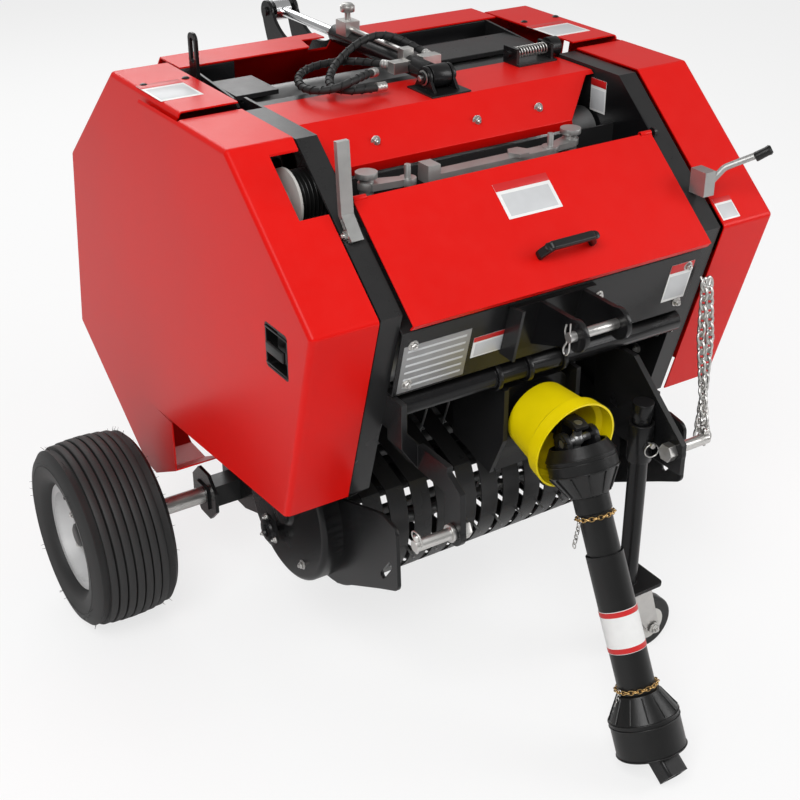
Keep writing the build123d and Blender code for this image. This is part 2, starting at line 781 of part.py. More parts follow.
# ======================================================================
# Front covers, which swing out as doors
# ======================================================================
front_cover_outline = (SEAM_TOP, TOP_FRONT, NOSE, FRONT_LOW, SEAM_LOW, SEAM_HIGH)
LATCH_CENTER = (-247.0, 834.0)
LATCH_WIDTH = 80.0
LATCH_HEIGHT = 86.0
NOTCH_START = 25.0
NOTCH_END = 150.0
NOTCH_DEPTH = 56.0

EDGE_RADIUS = 10.0


def middle(a, b):
    """Return the point half way between two (Y, Z) points."""
    return ((a[0] + b[0]) / 2, (a[1] + b[1]) / 2)


for side, side_name in SIDES:
    # the hollow inside the cover's sheet
    with BuildPart() as front_hollow:
        with BuildSketch(across(side * (COVER_INNER_X - 1.0))):
            with BuildLine():
                Polyline(*front_cover_outline, close=True)
            make_face()
            with BuildLine():
                Polyline(SEAM_TOP, TOP_FRONT, NOSE, FRONT_LOW)
            trace(line_width=2 * SHEET, mode=Mode.SUBTRACT)
        extrude(amount=side * (COVER_OUTER_X - SHEET - COVER_INNER_X + 1.0))
        edges = [
            front_hollow.edges().sort_by_distance((side * (COVER_OUTER_X - SHEET), *middle(a, b)))[0]
            for a, b in ((SEAM_TOP, TOP_FRONT), (TOP_FRONT, NOSE), (NOSE, FRONT_LOW))
        ]
        edges += [
            front_hollow.edges().sort_by_distance((side * (COVER_INNER_X + 60.0), *corner))[0]
            for corner in (TOP_FRONT, NOSE)
        ]
        fillet(edges, EDGE_RADIUS - SHEET)
    with BuildPart() as front_cover:
        with BuildSketch(across(side * COVER_INNER_X)):
            with BuildLine():
                Polyline(*front_cover_outline, close=True)
            make_face()
        extrude(amount=side * (COVER_OUTER_X - COVER_INNER_X))
        edges = [
            front_cover.edges().sort_by_distance((side * COVER_OUTER_X, *middle(a, b)))[0]
            for a, b in ((SEAM_TOP, TOP_FRONT), (TOP_FRONT, NOSE), (NOSE, FRONT_LOW))
        ]
        edges += [
            front_cover.edges().sort_by_distance((side * (COVER_INNER_X + 60.0), *corner))[0]
            for corner in (TOP_FRONT, NOSE)
        ]
        fillet(edges, EDGE_RADIUS)
        add(front_hollow.part, mode=Mode.SUBTRACT)
        with BuildSketch(across(side * (COVER_OUTER_X - 2 * SHEET))):
            with Locations(LATCH_CENTER):
                RectangleRounded(LATCH_WIDTH, LATCH_HEIGHT, 8.0)
        extrude(amount=side * 3 * SHEET, mode=Mode.SUBTRACT)
        if side < 0:
            # notch round the twine drum
            notch_a = along(TOP_FRONT, NOSE, NOTCH_START)
            notch_b = along(TOP_FRONT, NOSE, NOTCH_END)
            with BuildSketch(across(side * COVER_INNER_X)):
                with BuildLine():
                    Polyline(
                        (notch_a[0], notch_a[1] + 10.0),
                        (notch_a[0], notch_a[1] - 30.0),
                        (notch_b[0] + 30.0, notch_b[1] - 30.0),
                        (notch_b[0] - 10.0, notch_b[1]),
                        close=True,
                    )
                make_face()
            extrude(amount=side * NOTCH_DEPTH, mode=Mode.SUBTRACT)
        # hinge knuckles on leaves inside the sheet
        for height in HINGE_BRACKET_HEIGHTS:
            knuckle_z = height + 27.0
            knuckle_y = seam_point(knuckle_z)[0] - HINGE_SETBACK
            with Locations((side * (COVER_OUTER_X - SHEET - 2.0), knuckle_y - 16.0, knuckle_z)):
                Box(4.0, 32.0, 22.0)
            with Locations(
                Location((side * HINGE_AXIS_X, knuckle_y, knuckle_z), (SEAM_TILT, 0, 0)),
            ):
                Cylinder(radius=5.5, height=22.0)
                Cylinder(radius=3.5, height=40.0, mode=Mode.SUBTRACT)
    front_cover.part.label = f"front_cover_{side_name}"
    export_step(front_cover.part, f"parts/front_cover_{side_name}.step")

    with BuildPart() as cover_latch:
        with BuildSketch(across(side * (COVER_OUTER_X - 26.0))):
            with Locations(LATCH_CENTER):
                RectangleRounded(LATCH_WIDTH - 0.4, LATCH_HEIGHT - 0.4, 7.8)
        extrude(amount=side * 26.0)
        with BuildSketch(across(side * (COVER_OUTER_X - 22.0))):
            with Locations(LATCH_CENTER):
                RectangleRounded(LATCH_WIDTH - 8.0, LATCH_HEIGHT - 8.0, 4.0)
        extrude(amount=side * 30.0, mode=Mode.SUBTRACT)
        # the pull inside the recess
        with BuildSketch(across(side * (COVER_OUTER_X - 22.0))):
            with Locations((LATCH_CENTER[0] - 6.0, LATCH_CENTER[1] + 6.0)):
                RectangleRounded(38.0, 56.0, 8.0)
        extrude(amount=side * 12.0)
    cover_latch.part.label = f"cover_latch_{side_name}"
    export_step(cover_latch.part, f"parts/cover_latch_{side_name}.step")

# ======================================================================
# Lid over the twine trough
# ======================================================================
with BuildPart() as lid:
    with BuildSketch(across(-LID_HALF_WIDTH)):
        with BuildLine():
            Polyline(LID_TOP, LID_BOTTOM, (-380.0, 880.0))
        trace(line_width=SHEET)
    extrude(amount=2 * LID_HALF_WIDTH)
    for side, side_name in SIDES:
        with BuildSketch(across(side * LID_HALF_WIDTH)):
            with Locations(LID_TOP):
                Circle(LID_KNUCKLE_RADIUS)
        extrude(amount=-side * LID_KNUCKLE_LENGTH)
        with BuildSketch(across(side * LID_HALF_WIDTH)):
            with Locations(LID_TOP):
                Circle(LID_PIN_RADIUS + 0.4)
        extrude(amount=-side * LID_KNUCKLE_LENGTH, mode=Mode.SUBTRACT)
lid.part.label = "lid"
export_step(lid.part, "parts/lid.step")

LID_HANDLE_AT = along(LID_BOTTOM, LID_TOP, 62.0)
lid_plane = Plane(
    origin=(18.0, LID_HANDLE_AT[0], LID_HANDLE_AT[1]),
    x_dir=(1.0, 0.0, 0.0),
    z_dir=(0.0, LID_BOTTOM[1] - LID_TOP[1], LID_TOP[0] - LID_BOTTOM[0]),
)
with BuildPart() as lid_handle:
    with BuildSketch(Plane(origin=lid_plane.origin, x_dir=(1, 0, 0), z_dir=lid_plane.y_dir)):
        with BuildLine():
            Polyline((-58.0, -1.5), (-58.0, -12.0), (-44.0, -34.0), (44.0, -34.0), (58.0, -12.0), (58.0, -1.5))
        trace(line_width=12.0)
    extrude(amount=9.0, both=True)
lid_handle.part.label = "lid_handle"
export_step(lid_handle.part, "parts/lid_handle.step")

# ======================================================================
# Tailgate
# ======================================================================
gate_shell_line = (
    (376.0, 1150.0),
    (468.0, 1150.0),
    (610.0, 985.0),
    (640.0, 880.0),
    (640.0, 600.0),
    (560.0, 470.0),
    (455.0, 430.0),
)
gate_plate_outline = (
    (33.0, 1082.0),
    (60.0, 1076.0),
    (118.0, 1030.0),
    (150.0, 1022.0),
    (172.0, 1120.0),
    (190.0, 1133.0),
    (374.0, 1148.0),
    (467.0, 1148.0),
    (608.0, 984.0),
    (638.0, 880.0),
    (638.0, 601.0),
    (559.0, 472.0),
    (455.0, 433.0),
    (345.0, 462.0),
    (318.0, 490.0),
    (318.0, 548.0),
    (362.0, 640.0),
    (362.0, 700.0),
    (345.0, 760.0),
    (325.0, 870.0),
    (300.0, 920.0),
    (250.0, 950.0),
    (60.0, 1015.0),
    (33.0, 1018.0),
)
STANDOFFS = ((510.0, 1034.0), (600.0, 700.0), (430.0, 480.0))

with BuildPart() as gate_plates:
    for side, side_name in SIDES:
        with BuildSketch(across(side * GATE_PLATE_X)):
            with BuildLine():
                Polyline(*gate_plate_outline, close=True)
            make_face()
            with Locations(GATE_PIVOT):
                Circle(32.0)
                Circle(PIVOT_PIN_RADIUS + 0.5, mode=Mode.SUBTRACT)
        extrude(amount=side * GATE_PLATE_THICKNESS)
        # posts that carry the rear cover
        with BuildSketch(across(side * (GATE_PLATE_X + GATE_PLATE_THICKNESS))):
            with Locations(*STANDOFFS):
                Circle(10.0)
        extrude(amount=side * (REAR_COVER_OUTER_X - SHEET - GATE_PLATE_X - GATE_PLATE_THICKNESS))
    # lifting eye on the left plate
    with BuildSketch(across(-GATE_PLATE_X - GATE_PLATE_THICKNESS)):
        with Locations((345.0, 1175.0)):
            RectangleRounded(34.0, 98.0, 14.0)
        with Locations((345.0, 1190.0)):
            SlotOverall(48.0, 15.0, rotation=90, mode=Mode.SUBTRACT)
    extrude(amount=-7.0)
gate_plates.part.label = "gate_plates"
export_step(gate_plates.part, "parts/gate_plates.step")

# corners of the notch round the cylinder, in (X, Y)
shell_notch = ((-92.0, 370.0), (-78.0, 433.0), (62.0, 421.0), (76.0, 370.0))
ROD_SLOT_HALF_WIDTH = 25.0
with BuildPart() as gate_shell:
    with BuildSketch(across(-FLANGE_OUTER_X)):
        with BuildLine():
            Polyline(*gate_shell_line)
        trace(line_width=SHEET)
    extrude(amount=2 * FLANGE_OUTER_X)
    with BuildSketch(Plane.XY.offset(1140.0)):
        with BuildLine():
            Polyline(*shell_notch, close=True)
        make_face()
    extrude(amount=20.0, mode=Mode.SUBTRACT)
    with Locations((0.0, 464.0, 1130.0)):
        Box(2 * ROD_SLOT_HALF_WIDTH, 88.0, 60.0, mode=Mode.SUBTRACT)
gate_shell.part.label = "gate_shell"
export_step(gate_shell.part, "parts/gate_shell.step")

# ---- black deck between the hood and the red shell, open for the cylinder and its hoses
GATE_DECK_LINE = (
    (190.0, 1127.0),
    (190.0, 1135.0),
    (300.0, 1135.0),
    (300.0, 1112.0),
    (376.0, 1112.0),
    (376.0, 1147.0),
)
DECK_OPENING = (-262.0, 70.0)
with BuildPart() as gate_deck:
    for start_x, end_x in ((-GATE_PLATE_X, DECK_OPENING[0]), (DECK_OPENING[1], GATE_PLATE_X)):
        with BuildSketch(across(start_x)):
            with BuildLine():
                Polyline(*GATE_DECK_LINE)
            trace(line_width=SHEET)
        extrude(amount=end_x - start_x)
gate_deck.part.label = "gate_deck"
export_step(gate_deck.part, "parts/gate_deck.step")

with BuildPart() as gate_rollers:
    for angle in REAR_ROLLER_ANGLES:
        with BuildSketch(across(-ROLLER_HALF_LENGTH)):
            with Locations(polar(CHAMBER, ROLLER_PITCH_RADIUS, angle)):
                Circle(ROLLER_RADIUS)
        extrude(amount=2 * ROLLER_HALF_LENGTH)
        with BuildSketch(across(-GATE_PLATE_X)):
            with Locations(polar(CHAMBER, ROLLER_PITCH_RADIUS, angle)):
                Circle(ROLLER_SHAFT_RADIUS)
        extrude(amount=2 * GATE_PLATE_X)
gate_rollers.part.label = "gate_rollers"
export_step(gate_rollers.part, "parts/gate_rollers.step")

LUG_X = 31.0
LUG_THICKNESS = 8.0
# the shell's rear slope, at its outer skin
SLOPE_TOP = (469.25, 1151.1)
SLOPE_BOTTOM = (611.25, 986.1)
lug_foot_top = along(SLOPE_TOP, SLOPE_BOTTOM, 23.0)
lug_foot_bottom = along(SLOPE_TOP, SLOPE_BOTTOM, 210.0)
with BuildPart() as lift_lugs:
    for side, side_name in SIDES:
        with BuildSketch(across(side * (LUG_X - LUG_THICKNESS / 2))):
            with BuildLine():
                lug_front = ThreePointArc(lug_foot_top, (566.0, 1112.0), (650.0, 1164.0))
                lug_top = Line(lug_front @ 1, (694.0, 1158.0))
                lug_rear = ThreePointArc(lug_top @ 1, (664.0, 1080.0), lug_foot_bottom)
                Line(lug_rear @ 1, lug_front @ 0)
            make_face()
            with Locations(ROD_EYE):
                Circle(24.0)
        extrude(amount=side * LUG_THICKNESS)
        # the pin's end stands clear of the rod eye
        with BuildSketch(across(side * 18.5)):
            with Locations(ROD_EYE):
                Circle(10.0)
        extrude(amount=side * 22.0)
lift_lugs.part.label = "lift_lugs"
export_step(lift_lugs.part, "parts/lift_lugs.step")

rear_cover_outline = (
    REAR_TOP_FRONT,
    REAR_TOP,
    REAR_UPPER,
    REAR_LOWER,
    LEG_REAR,
    (390.0, 258.0),
    LEG_FRONT,
    (275.0, 440.0),
    (394.0, 440.0),
    (285.0, 1105.0),
    (135.0, 1118.0),
    (123.0, 1130.0),
    (112.0, 1141.0),
)
REAR_BAND_LINE = (REAR_TOP_FRONT, REAR_TOP, REAR_UPPER, REAR_LOWER, LEG_REAR)
for side, side_name in SIDES:
    with BuildPart() as rear_hollow:
        with BuildSketch(across(side * (COVER_INNER_X - 1.0))):
            with BuildLine():
                Polyline(*rear_cover_outline, close=True)
            make_face()
            with BuildLine():
                Polyline(*REAR_BAND_LINE, (390.0, 258.0), LEG_FRONT)
            trace(line_width=2 * SHEET, mode=Mode.SUBTRACT)
        extrude(amount=side * (REAR_COVER_OUTER_X - SHEET - COVER_INNER_X + 1.0))
        edges = [
            rear_hollow.edges().sort_by_distance((side * (REAR_COVER_OUTER_X - SHEET), *middle(a, b)))[0]
            for a, b in zip(REAR_BAND_LINE, REAR_BAND_LINE[1:])
        ]
        edges += [
            rear_hollow.edges().sort_by_distance((side * (COVER_INNER_X + 60.0), *corner))[0]
            for corner in REAR_BAND_LINE[1:-1]
        ]
        fillet(edges, EDGE_RADIUS - SHEET)
    with BuildPart() as rear_cover:
        with BuildSketch(across(side * COVER_INNER_X)):
            with BuildLine():
                Polyline(*rear_cover_outline, close=True)
            make_face()
        extrude(amount=side * (REAR_COVER_OUTER_X - COVER_INNER_X))
        edges = [
            rear_cover.edges().sort_by_distance((side * REAR_COVER_OUTER_X, *middle(a, b)))[0]
            for a, b in zip(REAR_BAND_LINE, REAR_BAND_LINE[1:])
        ]
        edges += [
            rear_cover.edges().sort_by_distance((side * (COVER_INNER_X + 60.0), *corner))[0]
            for corner in REAR_BAND_LINE[1:-1]
        ]
        fillet(edges, EDGE_RADIUS)
        add(rear_hollow.part, mode=Mode.SUBTRACT)
    rear_cover.part.label = f"rear_cover_{side_name}"
    export_step(rear_cover.part, f"parts/rear_cover_{side_name}.step")

# ======================================================================
# Lift cylinder
# ======================================================================
GLAND_Y = 423.0
BARREL_RADIUS = 19.0
ROD_RADIUS = 10.0
ROD_BORE_DEPTH = 190.0
ROD_START_Y = 330.0
with BuildPart() as lift_barrel:
    with BuildSketch(across(-20.0)):
        with Locations(CYLINDER_PIN):
            Circle(22.0)
            Circle(CLEVIS_PIN_RADIUS + 0.4, mode=Mode.SUBTRACT)
    extrude(amount=40.0)
    with BuildSketch(Plane.XZ.offset(-CYLINDER_PIN[0] - 21.0)):
        with Locations((0.0, CYLINDER_PIN[1])):
            Circle(BARREL_RADIUS)
    extrude(amount=-(GLAND_Y - CYLINDER_PIN[0] - 21.0))
    with BuildSketch(Plane.XZ.offset(-GLAND_Y + ROD_BORE_DEPTH)):
        with Locations((0.0, CYLINDER_PIN[1])):
            Circle(ROD_RADIUS + 0.4)
    extrude(amount=-ROD_BORE_DEPTH, mode=Mode.SUBTRACT)
lift_barrel.part.label = "lift_barrel"
export_step(lift_barrel.part, "parts/lift_barrel.step")

with BuildPart() as lift_rod:
    with BuildSketch(Plane.XZ.offset(-ROD_START_Y)):
        with Locations((0.0, ROD_EYE[1])):
            Circle(ROD_RADIUS)
    extrude(amount=-(ROD_EYE[0] - 18.0 - ROD_START_Y))
    with BuildSketch(across(-18.0)):
        with Locations(ROD_EYE):
            Circle(22.0)
            Circle(10.4, mode=Mode.SUBTRACT)
    extrude(amount=36.0)
lift_rod.part.label = "lift_rod"
export_step(lift_rod.part, "parts/lift_rod.step")

# ---- ports, pipe and valve on the barrel
BARREL_TOP = CYLINDER_PIN[1] + BARREL_RADIUS
HOSE_1_PORT = (45.0, 130.0, 1166.0)
HOSE_2_PORT = (-42.0, 140.0, 1160.0)
with BuildPart() as hydraulic_fittings:
    for port in (HOSE_1_PORT, HOSE_2_PORT):
        port_side = 1 if port[0] > 0 else -1
        with Locations((port_side * 30.0, port[1] - 15.0, port[2])):
            Box(42.0, 24.0, 22.0)
    # pipe along the top of the barrel to the valve at its far end
    with BuildSketch(Plane.XZ.offset(-150.0)):
        with Locations((-6.0, BARREL_TOP + 5.0)):
            Circle(5.5)
    extrude(amount=-200.0)
    with Locations((-6.0, 142.0, BARREL_TOP + 2.0)):
        Box(24.0, 20.0, 22.0)
    with Locations((-4.0, 366.0, BARREL_TOP + 6.0)):
        Box(34.0, 40.0, 30.0)
    with Locations((-4.0, 366.0, BARREL_TOP + 30.0)):
        Cylinder(radius=6.0, height=20.0)
    with Locations((-4.0, 366.0, BARREL_TOP + 44.0)):
        Cylinder(radius=15.0, height=12.0)
    with BuildSketch(Plane.XZ.offset(-CYLINDER_PIN[0] - 21.0)):
        with Locations((0.0, CYLINDER_PIN[1])):
            Circle(BARREL_RADIUS)
    extrude(amount=-(GLAND_Y - CYLINDER_PIN[0] - 21.0), mode=Mode.SUBTRACT)
hydraulic_fittings.part.label = "hydraulic_fittings"
export_step(hydraulic_fittings.part, "parts/hydraulic_fittings.step")

# ---- two hoses looped on the hood
HOSE_RADIUS = 7.0
hose_routes = (
    (
        "hose_1",
        (
            HOSE_1_PORT,
            (42.0, 182.0, 1176.0),
            (2.0, 226.0, 1199.0),
            (-60.0, 226.0, 1193.0),
            (-140.0, 196.0, 1160.0),
            (-197.7, 114.0, 1151.0),
            (-193.6, 79.0, 1150.0),
            (-167.5, 56.0, 1150.0),
            (-105.0, 57.5, 1149.0),
        ),
    ),
    (
        "hose_2",
        (
            HOSE_2_PORT,
            (-62.0, 196.0, 1158.0),
            (-110.0, 238.0, 1156.0),
            (-175.0, 232.0, 1154.0),
            (-222.0, 190.0, 1152.0),
            (-246.0, 130.0, 1151.0),
            (-240.0, 86.0, 1153.0),
            (-214.0, 60.0, 1160.0),
            (-176.0, 56.5, 1170.0),
            (-130.0, 84.0, 1170.0),
            (-96.0, 110.0, 1162.0),
        ),
    ),
)


def bend_radii(points):
    """Return the bend radius at each inner point, from its shorter run and its turn."""
    radii = []
    for before, here, after in zip(points, points[1:], points[2:]):
        run_in = Vector(*here) - Vector(*before)
        run_out = Vector(*after) - Vector(*here)
        half_turn = radians(run_in.get_angle(run_out)) / 2
        radii.append(0.45 * min(run_in.length, run_out.length) / sin(half_turn) * cos(half_turn))
    return radii


for hose_name, hose_points in hose_routes:
    radii = bend_radii(hose_points)
    print(hose_name, "bend radii", [round(radius, 1) for radius in radii])
    first_run = Vector(*hose_points[1]) - Vector(*hose_points[0])
    with BuildPart() as hose:
        with BuildLine() as hose_line:
            FilletPolyline(*hose_points, radius=radii)
        with BuildSketch(Plane(origin=hose_points[0], z_dir=first_run)):
            Circle(HOSE_RADIUS)
        sweep()
    length = sum(edge.length for edge in hose_line.edges())
    print(hose_name, "length", round(length, 1), "volume ratio",
          round(hose.part.volume / (length * pi * HOSE_RADIUS**2), 4))
    hose.part.label = hose_name
    export_step(hose.part, f"parts/{hose_name}.step")

# ======================================================================
# Wheels
# ======================================================================
rim_section = (
    # X from the tyre centre outwards, radius
    (-70.0, RIM_FLANGE_RADIUS),
    (-70.0, 98.0),
    (-28.0, 88.0),
    (28.0, 88.0),
    (34.0, 60.0),
    (34.0, 34.0),
    (40.0, 34.0),
    (40.0, 62.0),
    (36.0, 92.0),
    (70.0, 100.0),
    (70.0, RIM_FLANGE_RADIUS),
    (66.0, RIM_FLANGE_RADIUS),
    (64.0, BEAD_RADIUS),
    (-64.0, BEAD_RADIUS),
    (-66.0, RIM_FLANGE_RADIUS),
)
HUB_RADIUS = 30.0
for side, side_name in SIDES:
    wheel_axis = Axis((0.0, AXLE_Y, WHEEL_RADIUS), (1.0, 0.0, 0.0))
    wheel_plane = Plane(
        origin=(side * TYRE_X, AXLE_Y, WHEEL_RADIUS),
        x_dir=(side, 0.0, 0.0),
        z_dir=(0.0, -side, 0.0),
    )
    with BuildPart() as rim:
        with BuildSketch(wheel_plane):
            with BuildLine():
                Polyline(*rim_section, close=True)
            make_face()
        revolve(axis=wheel_axis)
        with BuildSketch(wheel_plane):
            with BuildLine():
                Polyline((-58.0, 13.1), (-58.0, HUB_RADIUS), (34.0, HUB_RADIUS), (34.0, 34.2), (40.0, 34.2),
                         (40.0, HUB_RADIUS), (54.0, 24.0), (54.0, 13.1), close=True)
            make_face()
        revolve(axis=wheel_axis)
    rim.part.label = f"rim_{side_name}"
    export_step(rim.part, f"parts/rim_{side_name}.step")

    half = TYRE_WIDTH / 2
    with BuildPart() as tyre:
        with BuildSketch(wheel_plane):
            with BuildLine():
                Polyline((-66.0, 119.0), (-64.0, BEAD_RADIUS + 0.2), (64.0, BEAD_RADIUS + 0.2), (66.0, 119.0))
                side_out = ThreePointArc((66.0, 119.0), (half, 150.0), (84.0, 184.0))
                shoulder_out = ThreePointArc(side_out @ 1, (77.0, 196.0), (64.0, 200.0))
                tread = ThreePointArc(shoulder_out @ 1, (0.0, WHEEL_RADIUS), (-64.0, 200.0))
                shoulder_in = ThreePointArc(tread @ 1, (-77.0, 196.0), (-84.0, 184.0))
                ThreePointArc(shoulder_in @ 1, (-half, 150.0), (-66.0, 119.0))
            make_face()
        revolve(axis=wheel_axis)
    tyre.part.label = f"tyre_{side_name}"
    export_step(tyre.part, f"parts/tyre_{side_name}.step")

# ======================================================================
# Pickup reel
# ======================================================================
REEL_HALF_LENGTH = 330.0
TINE_RADIUS = 2.5
TINE_ROWS = 4
slot_xs = [(index - BAND_COUNT / 2) * BAND_PITCH for index in range(1, BAND_COUNT)]
REEL_DISC_THICKNESS = 6.0
with BuildPart() as pickup_reel:
    with BuildSketch(across(-REEL_HALF_LENGTH)):
        with Locations(REEL):
            Circle(30.0)
    extrude(amount=2 * REEL_HALF_LENGTH)
    # end discs that carry the tine bars
    for disc_x in (-REEL_HALF_LENGTH, REEL_HALF_LENGTH - REEL_DISC_THICKNESS):
        with BuildSketch(across(disc_x)):
            with Locations(REEL):
                Circle(125.0)
        extrude(amount=REEL_DISC_THICKNESS)
pickup_reel.part.label = "pickup_reel"
export_step(pickup_reel.part, "parts/pickup_reel.step")

TINE_BAR_HALF_LENGTH = REEL_HALF_LENGTH - REEL_DISC_THICKNESS
with BuildPart() as pickup_tines:
    for row in range(TINE_ROWS):
        turn = 20.0 + row * 360.0 / TINE_ROWS
        with BuildSketch(across(-TINE_BAR_HALF_LENGTH)):
            with Locations(polar(REEL, 105.0, turn)):
                Circle(11.0)
        extrude(amount=2 * TINE_BAR_HALF_LENGTH)
        for slot_x in slot_xs:
            root = polar(REEL, 100.0, turn)
            tine_plane = Plane(
                origin=(slot_x, root[0], root[1]),
                z_dir=(0.0, cos(radians(turn)), sin(radians(turn))),
            )
            with BuildSketch(tine_plane):
                Circle(TINE_RADIUS)
            extrude(amount=TINE_TIP_RADIUS - 100.0)
pickup_tines.part.label = "pickup_tines"
export_step(pickup_tines.part, "parts/pickup_tines.step")

# ======================================================================
# Drive shaft between tractor and baler
# ======================================================================
drop = radians(SHAFT_DROP)
shaft_dir = (0.0, -cos(drop), -sin(drop))
joint_a = (0.0, INPUT_JOINT[0], INPUT_JOINT[1])


def on_shaft(distance):
    """Return the point at a distance down the drive shaft from its upper joint."""
    return tuple(joint_a[i] + distance * shaft_dir[i] for i in range(3))


def shaft_plane(distance):
    """Return the plane across the drive shaft at a distance from its upper joint."""
    return Plane(origin=on_shaft(distance), x_dir=(1.0, 0.0, 0.0), z_dir=shaft_dir)


# cross of the upper joint: one arm up in the input yoke, one across in the shaft yoke
ARM_HALF = 36.0
with BuildPart() as joint_cross:
    with Locations(joint_a):
        Cylinder(radius=CROSS_ARM_RADIUS, height=2 * ARM_HALF)
        Cylinder(radius=CROSS_ARM_RADIUS, height=2 * ARM_HALF, rotation=(0, 90, 0))
        Sphere(13.0)
joint_cross.part.label = "joint_cross"
export_step(joint_cross.part, "parts/joint_cross.step")

# upper half: yoke, square bar, guard bell and inner guard tube
shaft_section = Plane(origin=joint_a, x_dir=(1.0, 0.0, 0.0), z_dir=(0.0, -sin(drop), cos(drop)))
shaft_axis = Axis(joint_a, shaft_dir)
with BuildPart() as shaft_upper:
    # section in (radius, -distance), revolved round the shaft
    with BuildSketch(shaft_section):
        with BuildLine():
            Polyline(
                (51.0, -8.0),
                (55.0, -8.0),
                (66.0, -28.0),
                (66.0, -60.0),
                (40.0, -104.0),
                (35.0, -106.0),
                (35.0, -137.0),
                (32.0, -139.0),
                (32.0, -438.0),
                (28.0, -438.0),
                (28.0, -107.0),
                (36.0, -103.0),
                (62.0, -59.0),
                (62.0, -29.0),
                close=True,
            )
        make_face()
    revolve(axis=shaft_axis)
    # bearing that centres the guard on the steel bar
    with BuildSketch(shaft_plane(58.1)):
        Circle(20.0)
    extrude(amount=80.0)
    with BuildSketch(shaft_plane(119.0)):
        Circle(28.5)
    extrude(amount=16.0)
shaft_upper.part.label = "shaft_upper"
export_step(shaft_upper.part, "parts/shaft_upper.step")

EAR_INNER_X = 26.0
EAR_OUTER_X = 38.0
with BuildPart() as shaft_yoke:
    for side, side_name in SIDES:
        with BuildSketch(Plane(origin=joint_a, x_dir=shaft_dir, z_dir=(1.0, 0.0, 0.0)).offset(side * EAR_INNER_X)):
            Circle(YOKE_EAR_RADIUS)
            with Locations((28.0, 0.0)):
                Rectangle(52.0, 2 * YOKE_EAR_RADIUS)
            Circle(CROSS_ARM_RADIUS + 0.4, mode=Mode.SUBTRACT)
        extrude(amount=side * (EAR_OUTER_X - EAR_INNER_X))
    with BuildSketch(shaft_plane(46.0)):
        Circle(EAR_OUTER_X)
    extrude(amount=12.0)
shaft_yoke.part.label = "shaft_yoke"
export_step(shaft_yoke.part, "parts/shaft_yoke.step")

# lower half: outer guard tube, bell and yoke
with BuildPart() as shaft_lower:
    with BuildSketch(shaft_section):
        with BuildLine():
            Polyline(
                (33.0, -219.0),
                (36.0, -219.0),
                (36.0, -488.0),
                (41.0, -490.0),
                (67.0, -535.0),
                (67.0, -608.0),
                (63.0, -608.0),
                (63.0, -537.0),
                (38.0, -494.0),
                (33.0, -490.0),
                close=True,
            )
        make_face()
    revolve(axis=shaft_axis)
    with BuildSketch(shaft_plane(514.0)):
        Circle(52.0)
    extrude(amount=6.0)
shaft_lower.part.label = "shaft_lower"
export_step(shaft_lower.part, "parts/shaft_lower.step")

joint_b = on_shaft(JOINT_SPACING)
end_drop = radians(END_YOKE_DROP)
end_dir = (0.0, -cos(end_drop), -sin(end_drop))
SPLINE_BORE_RADIUS = 17.45
END_HUB_WIDTH = 46.0
END_HUB_START = 40.0
END_HUB_LENGTH = 54.0
with BuildPart() as end_yoke:
    with BuildSketch(Plane(origin=joint_b, x_dir=(1.0, 0.0, 0.0), z_dir=end_dir).offset(END_HUB_START)):
        RectangleRounded(END_HUB_WIDTH, END_HUB_WIDTH, 7.0)
        Circle(SPLINE_BORE_RADIUS, mode=Mode.SUBTRACT)
    extrude(amount=END_HUB_LENGTH)
    for side, side_name in SIDES:
        with BuildSketch(Plane(origin=joint_b, x_dir=end_dir, z_dir=(1.0, 0.0, 0.0)).offset(side * 18.5)):
            Circle(16.0)
            with Locations((END_HUB_START / 2 + 3.0, 0.0)):
                Rectangle(END_HUB_START + 6.0, 32.0)
            Circle(CROSS_ARM_RADIUS - 0.6, mode=Mode.SUBTRACT)
        extrude(amount=side * 9.0)
end_yoke.part.label = "end_yoke"
export_step(end_yoke.part, "parts/end_yoke.step")

with BuildPart() as end_cross:
    with BuildSketch(Plane(origin=joint_b, x_dir=shaft_dir, z_dir=(1.0, 0.0, 0.0)).offset(-27.0)):
        Circle(CROSS_ARM_RADIUS - 1.0)
    extrude(amount=54.0)
    with BuildSketch(Plane(origin=joint_b, x_dir=(1.0, 0.0, 0.0), z_dir=(0.0, -sin(drop), cos(drop))).offset(-27.0)):
        Circle(CROSS_ARM_RADIUS - 1.0)
    extrude(amount=54.0)
end_cross.part.label = "end_cross"
export_step(end_cross.part, "parts/end_cross.step")

with BuildPart() as lower_yoke:
    for turn in (-1.0, 1.0):
        ear_plane = Plane(origin=joint_b, x_dir=(1.0, 0.0, 0.0), z_dir=(0.0, -sin(drop), cos(drop)))
        with BuildSketch(ear_plane.offset(turn * 18.5)):
            Circle(14.0)
            with Locations((0.0, 25.9)):
                Rectangle(28.0, 52.0)
            Circle(CROSS_ARM_RADIUS - 0.6, mode=Mode.SUBTRACT)
        extrude(amount=turn * 8.0)
lower_yoke.part.label = "lower_yoke"
export_step(lower_yoke.part, "parts/lower_yoke.step")

